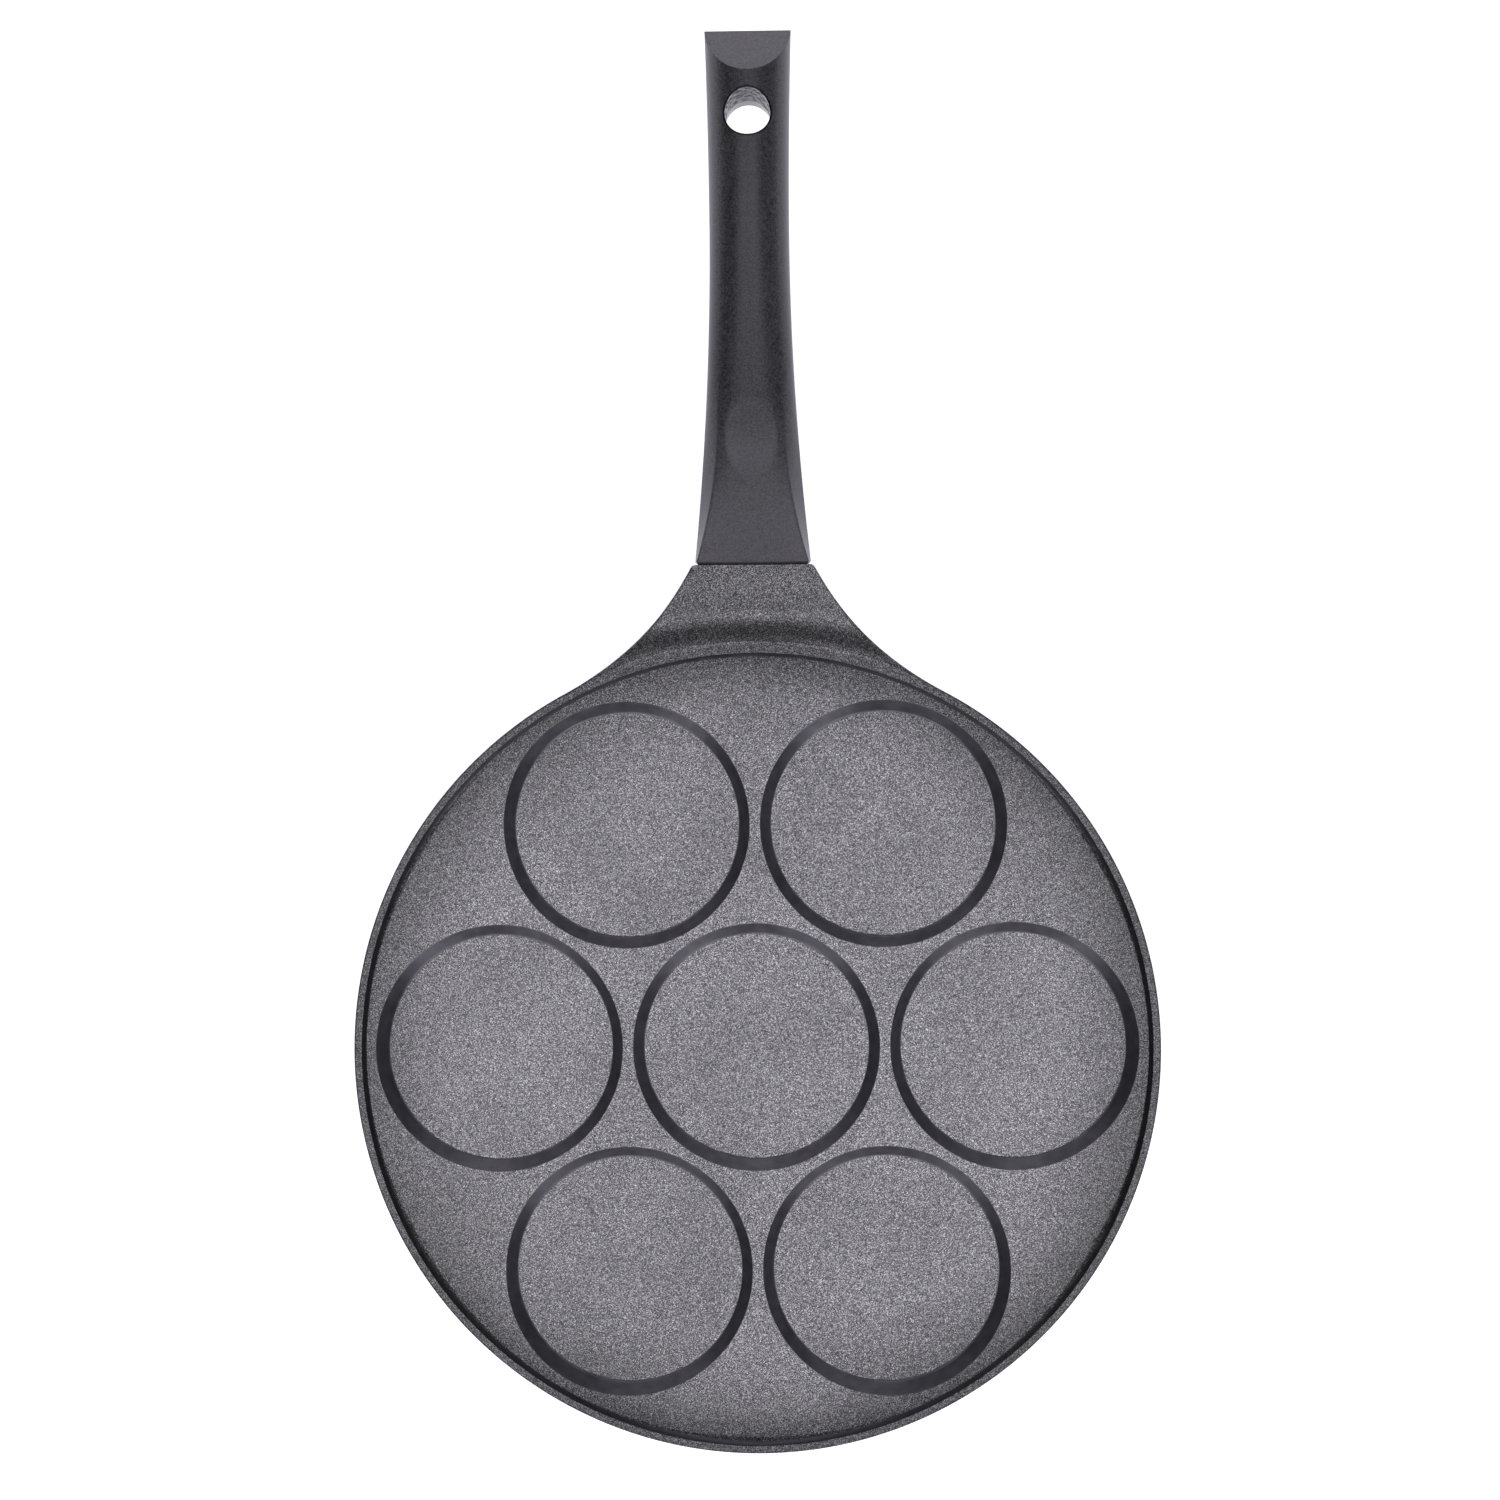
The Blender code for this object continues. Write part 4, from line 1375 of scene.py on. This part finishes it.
@dataclass(frozen=True)
class Grip:
    """The moulded handle: flat-topped and creased at the seam, oval further on, with a slanting end.

    The last fields count the rows and columns of the mesh on its parts.
    """

    seam: Seam
    tang: Tang
    fastening: Fastening
    length: float = 0.1682
    end_slope: float = math.radians(2)
    front_width: float = 0.0378
    waist_width: float = 0.0253
    waist_at: float = 0.108
    tip_width: float = 0.0273
    front_taper: float = 0.112
    rear_crown: float = 0.0148
    rear_crown_at: float = 0.140
    rear_belly: float = 0.0067
    belly_squareness: float = 3.4
    front_reach: float = 0.00032
    groove_width: float = 0.0006
    groove_depth: float = 0.001
    front_edge_radius: float = 0.0002
    crease_length: float = 0.048
    crease_blend_start: float = 0.015
    crease_blend_end: float = 0.070
    crease_width_share: float = 0.97
    crease_height_share: float = 0.95
    crease_angle: float = math.radians(45)
    crease_softness: float = math.radians(3)
    facet_angle: float = math.radians(40)
    facet_edge_radius: float = 0.0003
    facet_margin: float = 0.0006
    tip_land: float = 0.0004
    tip_edge_radius: float = 0.0003
    belly_end_radius: float = 0.0012
    belly_end_margin: float = 0.003
    hole_radius: float = 0.0070
    hole_from_tip: float = 0.0288
    hole_draft: float = 0.008
    hole_draft_below: float = 0.05
    hole_step: float = 0.00012
    mouth_widening: float = 0.00055
    mouth_groove: float = 0.0011
    lip_drop: float = 0.0002
    lip_width: float = 0.00006
    lip_foot_width: float = 0.00009
    recess_at: float = 0.0405
    recess_depth: float = 0.0019
    recess_radius_across: float = 0.078
    recess_radius_along: float = 0.047
    recess_edge: float = 0.00018
    sharp: float = math.radians(35)
    rows: int = 260
    segments: int = 128
    side_columns: int = 20
    side_column_growth: float = 1.6
    crease_columns: int = 6
    top_columns: int = 21
    facet_rows: int = 24
    end_rows: int = 8

    @property
    def curve_radius(self) -> float:
        """Radius of the arc that the parting line follows."""
        return self.length / (self.seam.slope - self.end_slope)

    @property
    def tip(self) -> Array:
        """Last point of the parting line."""
        return self.place(np.array(self.length))

    @property
    def crease_span(self) -> Span:
        """Angles at which the softening of a crease starts and ends."""
        return self.crease_angle - self.crease_softness, self.crease_angle + self.crease_softness

    @property
    def recess_centre(self) -> float:
        """How far along Y the middle of the thumb recess lies."""
        return float(self.place(np.array(self.recess_at))[1])

    def slope(self, along: Array) -> Array:
        """Slope of the parting line, which falls evenly with the distance from the front."""
        return self.seam.slope - along / self.curve_radius

    def place(self, along: Array) -> Array:
        """Points of the parting line, an arc that levels out towards the tip.

        Args:
            along: distance from the handle's front.

        Returns:
            Points of (..., 3).
        """
        slope = self.slope(along)
        forward = self.curve_radius * (math.sin(self.seam.slope) - np.sin(slope))
        upward = self.curve_radius * (np.cos(slope) - math.cos(self.seam.slope))
        start = self.seam.handle_start
        return stack(0, start[1] + forward, start[2] + upward)

    def half_width(self, along: Array) -> Array:
        """Half of the width: a cubic from the front in to the waist, then a square to the tip.

        Args:
            along: distance from the handle's front.

        Returns:
            Half of the width there.
        """
        t = along / self.waist_at
        front = 2 * t**3 - 3 * t**2 + 1
        narrowing = self.front_taper * self.waist_at * (t**3 - 2 * t**2 + t)
        before = mix(self.waist_width, self.front_width, front) / 2 - narrowing
        swell = ((along - self.waist_at) / (self.length - self.waist_at)) ** 2
        return np.where(along < self.waist_at, before, mix(self.waist_width, self.tip_width, swell) / 2)

    def crown(self, along: Array) -> Array:
        """Height of the top over the parting line, which grows smoothly towards the rear."""
        return mix(self.seam.crown, self.rear_crown, ease(along / self.rear_crown_at))

    def lifted(self, along: Array, x: Array, z: Array) -> Array:
        """Put points of sections into place, leaning as the seam at the front and square further on.

        Args:
            along: distance from the handle's front.
            x: how far the points lie to the right.
            z: how far they lie over the parting line.

        Returns:
            Points of (..., 3).
        """
        lean = mix(self.seam.tilt, self.slope(along), ease(along / self.crease_length))
        place = self.place(along)
        return stack(x, place[..., 1] - np.sin(lean) * z, place[..., 2] + np.cos(lean) * z)

    def upper(self, along: Array, angle: Array, inset: float = 0.0) -> Array:
        """Points of the upper half.

        A section runs from one side over the top to the other. At the front its sides are straight up to the
        creases and its top is a low parabola between them. Further on this turns into half an ellipse.
        Round each crease the section is the curve (1-t)^2 A + 2t(1-t) B + t^2 C with the crease at B.

        Args:
            along: distance from the handle's front.
            angle: from 0 on the right to pi on the left.
            inset: how much smaller the section is all round.

        Returns:
            Points of (..., 3).
        """
        along, angle = np.broadcast_arrays(along, angle)
        turn = np.minimum(angle, math.pi - angle)
        width, crown = self.half_width(along) - inset, self.crown(along) - inset
        fade = np.maximum(1 - along / self.crease_length, 0) ** 2
        share = math.sin(self.crease_angle)
        crease_x = width * mix(share, self.crease_width_share, fade)
        crease_z = crown * mix(share, self.crease_height_share, fade)

        def creased(at: Array) -> Array:
            """Section with sharp creases, at an angle from the side."""
            climb, across = at / self.crease_angle, np.cos(at) / share
            low = np.stack([mix(width, crease_x, climb), crease_z * climb])
            high = np.stack([crease_x * across, mix(crown, crease_z, across**2)])
            return np.where(climb < 1, low, high)

        first, last = self.crease_span
        t = np.clip((turn - first) / (last - first), 0, 1)
        crease = np.stack([crease_x, crease_z])
        soft = (1 - t) ** 2 * creased(first) + 2 * t * (1 - t) * crease + t**2 * creased(last)
        x, z = np.where((t > 0) & (t < 1), soft, creased(turn))
        turning = self.crease_blend_end - self.crease_blend_start
        round_share = ease((along - self.crease_blend_start) / turning)
        x = mix(x, width * np.cos(turn), round_share)
        z = mix(z, crown * np.sin(turn), round_share)
        return self.sunk(self.lifted(along, np.where(angle > math.pi / 2, -x, x), z))

    def sunk(self, points: Array) -> Array:
        """Sink the thumb recess: a shallow bowl in the frame of the top at its middle, with a soft edge.

        Args:
            points: points of the top, (..., 3).

        Returns:
            The points, lowered to the bowl where they lie over it.
        """
        slope = float(self.slope(self.recess_at))
        middle = self.lifted(np.array(self.recess_at), 0, self.crown(self.recess_at))
        along = np.array([0, math.cos(slope), math.sin(slope)])
        up = np.array([0, -math.sin(slope), math.cos(slope)])
        away = points - middle
        height = away @ up
        across = away[..., 0] ** 2 / (2 * self.recess_radius_across)
        bowl = across + (away @ along) ** 2 / (2 * self.recess_radius_along) - self.recess_depth
        return points + (soft_least(height, bowl, self.recess_edge) - height)[..., None] * up

    def lower(self, along: Array, angle: Array, inset: float = 0.0) -> Array:
        """Points of the belly, a rounded square: both coordinates are powers of the cosine and the sine.

        Args:
            along: distance from the handle's front.
            angle: from 0 on the right to pi on the left.
            inset: how much smaller the section is all round.

        Returns:
            Points of (..., 3).
        """
        along, angle = np.broadcast_arrays(along, angle)
        power = 2 / self.belly_squareness
        cosine = np.cos(angle)
        belly = mix(self.seam.belly, self.rear_belly, ease(along / self.length)) - inset
        x = np.sign(cosine) * (self.half_width(along) - inset) * np.abs(cosine) ** power
        return self.lifted(along, x, -belly * np.maximum(np.sin(angle), 0) ** power)

    def above_facet(self, points: Array) -> Array:
        """Height of points over the plane of the slanting end."""
        _, ahead, up = self.tip
        return points[..., 2] - (up + self.tip_land + (ahead - points[..., 1]) * math.tan(self.facet_angle))

    def column_angles(self) -> Array:
        """Angles of the upper columns: close at the sides and on the creases, even between.

        Returns:
            Angles from 0 on the right to pi on the left.
        """
        first, last = self.crease_span
        side = first * np.linspace(0, 1, self.side_columns + 1) ** self.side_column_growth
        crease = np.linspace(first, last, self.crease_columns + 1)
        top = np.linspace(last, math.pi / 2, self.top_columns + 1)
        quarter = np.concatenate([side[:-1], crease[:-1], top])
        return np.concatenate([quarter, math.pi - quarter[-2::-1]])

    def front_edge(self) -> Profile:
        """Section of the handle's front: from its face at the neck up a slanting wall, and round its edge.

        Returns:
            (distance from the front, depth under the surface) pairs.
        """
        places = [(-self.front_reach, self.groove_depth), (self.groove_width, 0), (2 * self.groove_width, 0)]
        return [places[0], *rounded_bend(places, self.front_edge_radius)]

    def skin(self) -> tuple[Array, Array]:
        """The whole surface: each column is a closed path, over the top to the tip and back below.

        An upper column ends where it meets the plane of the slanting end, runs down that plane to the tip,
        down the end face, and back along the belly column that has the same x there.

        Returns:
            Points of (rows, columns, 3), the first row again last, and the kind of each row of faces.
        """
        angle = self.column_angles()
        low, high = np.full(len(angle), self.length / 2), np.full(len(angle), self.length)
        for _ in range(HALVINGS):
            middle = (low + high) / 2
            over = self.above_facet(self.upper(middle, angle)) > 0
            low, high = np.where(over, low, middle), np.where(over, middle, high)
        on_facet = self.above_facet(self.upper(np.full(len(angle), self.length), angle)) > 0
        end = np.where(on_facet, high, self.length)

        rim = self.upper(end, angle)
        tip = self.tip
        land = stack(rim[:, 0], tip[1], tip[2] + self.tip_land)
        brink = np.where(on_facet[:, None], land, rim)
        across = np.minimum(np.abs(brink[:, 0]) / self.half_width(np.array(self.length)), 1)
        below = np.arccos(across ** (self.belly_squareness / 2))
        below = np.where(angle > math.pi / 2, math.pi - below, below)
        heel = self.lower(self.length, below)

        facet_radius = np.full(len(angle), self.facet_edge_radius)
        margin = np.full(len(angle), self.facet_margin)
        facet_radius[[0, -1]] = self.belly_end_radius
        margin[[0, -1]] = self.belly_end_margin

        *front, (start, _) = self.front_edge()
        share = np.linspace(0, 1, self.rows + 1)[:, None]
        over = self.upper(mix(start, end - margin, share), angle)
        under = self.lower(mix(start, self.length - self.belly_end_margin, share), below)
        front_over = np.stack([self.upper(np.array(back), angle, inset) for back, inset in front])
        front_under = np.stack([self.lower(np.array(back), below, inset) for back, inset in front])
        facet_edge = rounded(over[-1], rim, brink, facet_radius)
        tip_edge = rounded(rim, brink, heel, self.tip_edge_radius)
        heel_edge = rounded(brink, heel, under[-1], self.belly_end_radius)
        facet = straight(facet_edge[-1], tip_edge[0], self.facet_rows)
        parts = [
            front_over,
            over,
            facet_edge,
            facet,
            tip_edge,
            straight(tip_edge[-1], heel_edge[0], self.end_rows),
            heel_edge,
            under[::-1],
            front_under[::-1],
            straight(front_under[0], front_over[0], self.end_rows),
            front_over[:1],
        ]
        grid = np.concatenate(parts)
        kinds = np.full(len(grid) - 1, Face.MOULDED.value)
        first = len(front_over) + len(over) + ROUND_STEPS // 2
        kinds[first : first + len(facet) + ROUND_STEPS] = Face.GROUND.value
        return grid, kinds

    def hang_hole(self) -> tuple[Array, Array]:
        """The tool for the hang hole.

        Each half widens evenly away from the parting line, and the lower starts a step wider. At the mouth
        a thin lip stands in a pointed groove, whose outer edge follows the handle's top.

        Returns:
            Points of (rows, segments, 3), and the kind of each row of faces.
        """
        at = self.length - self.hole_from_tip
        centre, reach = self.place(np.array(at)), self.rear_crown + self.rear_belly
        part = centre[2]
        low, high = part - reach, part + reach
        angle = circle(self.segments)
        mouth = self.hole_radius + self.rear_crown * self.hole_draft + self.mouth_widening
        along = at + mouth * np.sin(angle)
        top = self.upper(along, np.arccos(mouth * np.cos(angle) / self.half_width(along)))[:, 2]
        lip = top - self.lip_drop
        throat = self.hole_radius + (lip - part) * self.hole_draft
        # Each row has its radius, its height and the finish of the faces up to the next row.
        rows = [
            (0, low, Face.HOLE_BELOW),
            (self.hole_radius + self.hole_step + reach * self.hole_draft_below, low, Face.HOLE_BELOW),
            (self.hole_radius + self.hole_step, part, Face.HOLE_ABOVE),
            (self.hole_radius, part + self.hole_step, Face.HOLE_ABOVE),
            (throat, lip, Face.HOLE_ABOVE),
            (throat + self.lip_width, lip, Face.MOULDED),
            (throat + self.lip_foot_width, top - self.mouth_groove, Face.MOULDED),
            (mouth, top, Face.MOULDED),
            (mouth, high, Face.MOULDED),
            (0, high, Face.MOULDED),
        ]
        grid = np.stack([polar(radius, angle, height) for radius, height, _ in rows])
        kinds = np.array([face.value for *_, face in rows[:-1]])
        return grid + np.array([0, centre[1], 0]), kinds

    def build(self, finishes: list[Material]) -> None:
        """Build the handle, then cut its hang hole, socket, screw hole and counterbore.

        Args:
            finishes: phenolic as moulded, ground, and in the hang hole above and below the parting line.
        """
        obj = grid_piece("handle_moulding", finishes, *self.skin(), loop=False)
        deep = -2 * self.rear_crown
        hole, kinds = self.hang_hole()
        cut_away(obj, hole, kinds=kinds)
        cut_away(
            obj,
            self.tang.solid(self.tang.clearance),
            self.tang.bore(self.tang.hole_radius, deep, self.tang.rise),
            self.tang.bore(self.fastening.bore_radius, deep, self.fastening.seat),
        )
        finish_piece(obj, Slot.PHENOLIC, self.sharp, "handle_grip")


@dataclass(frozen=True)
class Opening:
    """A soft round light in the sky.

    Its lean from straight up, its bearing and half its width are in degrees.
    """

    lean: float
    bearing: float
    spread: float
    strength: float

    @property
    def axis(self) -> tuple[float, float, float]:
        """Direction to its middle, the bearing counted from +X towards +Y."""
        lean, bearing = math.radians(self.lean), math.radians(self.bearing)
        return (math.sin(lean) * math.cos(bearing), math.sin(lean) * math.sin(bearing), math.cos(lean))

    @property
    def edge(self) -> float:
        """Cosine of the angle from its middle at which it ends."""
        return math.cos(math.radians(self.spread))


@dataclass(frozen=True)
class Studio:
    """Pale floor, soft light from a few openings and the camera above the pan."""

    floor_size: float = 4.0
    floor_drop: float = 0.0002
    floor_colour: Colour = (0.88, 0.88, 0.89)
    floor_glow: float = 0.75
    floor_lines: int = 9
    floor_roughness: float = 0.9
    floor_cloud: float = 0.3
    floor_shade: float = 0.985
    lens: float = 56.58
    sensor: float = 36.0
    camera_place: tuple[float, float, float] = (0.01666, 0.08556, 0.7755)
    camera_turn: tuple[float, float, float] = (-0.0139, -0.0236, 0.0074)
    tint: tuple[float, ...] = (1.0, 0.98, 1.07, 1.0)
    backdrop: float = 1.15
    overhead: tuple[Opening, ...] = (
        Opening(lean=0, bearing=0, spread=22, strength=0.8),
        Opening(lean=20, bearing=200, spread=22, strength=2.8),
        Opening(lean=20, bearing=343, spread=22, strength=3.1),
        Opening(lean=40, bearing=90, spread=24, strength=0.25),
        Opening(lean=40, bearing=270, spread=24, strength=1.25),
    )
    beside: tuple[Opening, ...] = (
        Opening(lean=63, bearing=0, spread=27, strength=0.3),
        Opening(lean=63, bearing=45, spread=27, strength=0.4),
        Opening(lean=63, bearing=135, spread=27, strength=0.6),
        Opening(lean=63, bearing=270, spread=27, strength=0.8),
    )
    low: tuple[Opening, ...] = (
        Opening(lean=84, bearing=60, spread=22, strength=0.6),
        Opening(lean=84, bearing=90, spread=22, strength=1.7),
        Opening(lean=84, bearing=120, spread=22, strength=0.7),
        Opening(lean=84, bearing=240, spread=22, strength=3.8),
        Opening(lean=84, bearing=300, spread=22, strength=4.4),
    )

    def floor(self) -> None:
        """Lay a pale floor that glows a little, as a lit table does."""
        half = self.floor_size / 2
        side = np.linspace(-half, half, self.floor_lines)
        recipe = Recipe("pale_floor")
        shade = recipe.noise(self.floor_cloud)
        darker = tuple(self.floor_shade * value for value in self.floor_colour)
        finish = recipe.dressed(
            {
                "Base Color": recipe.tones(shade, NOISE_SPAN, darker, self.floor_colour),
                "Roughness": self.floor_roughness,
                "Emission Color": self.tint,
                "Emission Strength": self.floor_glow,
            }
        )
        grid = stack(side[:, None], side[None, :], -self.floor_drop)
        obj = grid_piece("floor", [finish], grid, loop=False)

    def light(self) -> None:
        """Light from the openings, each bright in its middle and falling smoothly to its edge.

        Where the camera sees past the floor, the sky is plain and pale.
        """
        world = bpy.data.worlds.new("studio")
        world.use_nodes = True
        bpy.context.scene.world = world
        wiring = Wiring(world.node_tree)
        way = wiring.add("TexCoord").outputs["Generated"]
        total = 0.0
        for opening in (*self.overhead, *self.beside, *self.low):
            facing = wiring.add("VectorMath", {0: way, 1: opening.axis}, operation="DOT_PRODUCT")
            light = wiring.span(facing.outputs["Value"], (opening.edge, 1.0), (0.0, opening.strength))
            total = wiring.math("ADD", total, light)
        seen = wiring.add("LightPath").outputs["Is Camera Ray"]
        strength = wiring.blend(seen, total, self.backdrop)
        background = world.node_tree.nodes["Background"]
        wiring.feed(background, {"Color": self.tint, "Strength": strength})

    def camera(self) -> None:
        """Set the camera over the pan, turned about X, then Y, then Z by small angles."""
        data = bpy.data.cameras.new("camera")
        data.lens, data.sensor_width = self.lens, self.sensor
        camera = bpy.data.objects.new("camera", data)
        bpy.context.scene.collection.objects.link(camera)
        turn = Matrix.Identity(3)
        for angle, axis in zip(self.camera_turn, "XYZ"):
            turn = Matrix.Rotation(angle, 3, axis) @ turn
        camera.matrix_world = Matrix.Translation(self.camera_place) @ turn.transposed().to_4x4()
        bpy.context.scene.camera = camera

    def build(self) -> None:
        """Set up floor, light, camera and the plain view of colours."""
        self.floor()
        self.light()
        self.camera()
        bpy.context.scene.view_settings.view_transform = "Standard"


def main() -> None:
    """Build the pan's sub-assemblies in order, then the studio."""
    logging.basicConfig(level=logging.INFO, format="%(message)s")
    seam = Seam()
    tang = Tang(seam)
    fastening = Fastening(tang)
    grip = Grip(seam, tang, fastening)
    recess = grip.recess_centre
    smooth, zinc = SmoothCoating().material(), ZincPlate().material()
    handle_finishes = (Phenolic(recess), GroundPhenolic(recess), PinPolish(), LowerPinPolish())
    Casting(seam).build([SpeckledCoating().material(), smooth, TurnedAluminium().material()])
    tang.build(smooth)
    grip.build([finish.material() for finish in handle_finishes])
    fastening.screw(zinc)
    fastening.flat_washer(zinc)
    fastening.spring_washer(zinc)
    Studio().build()


if __name__ == "__main__":
    main()
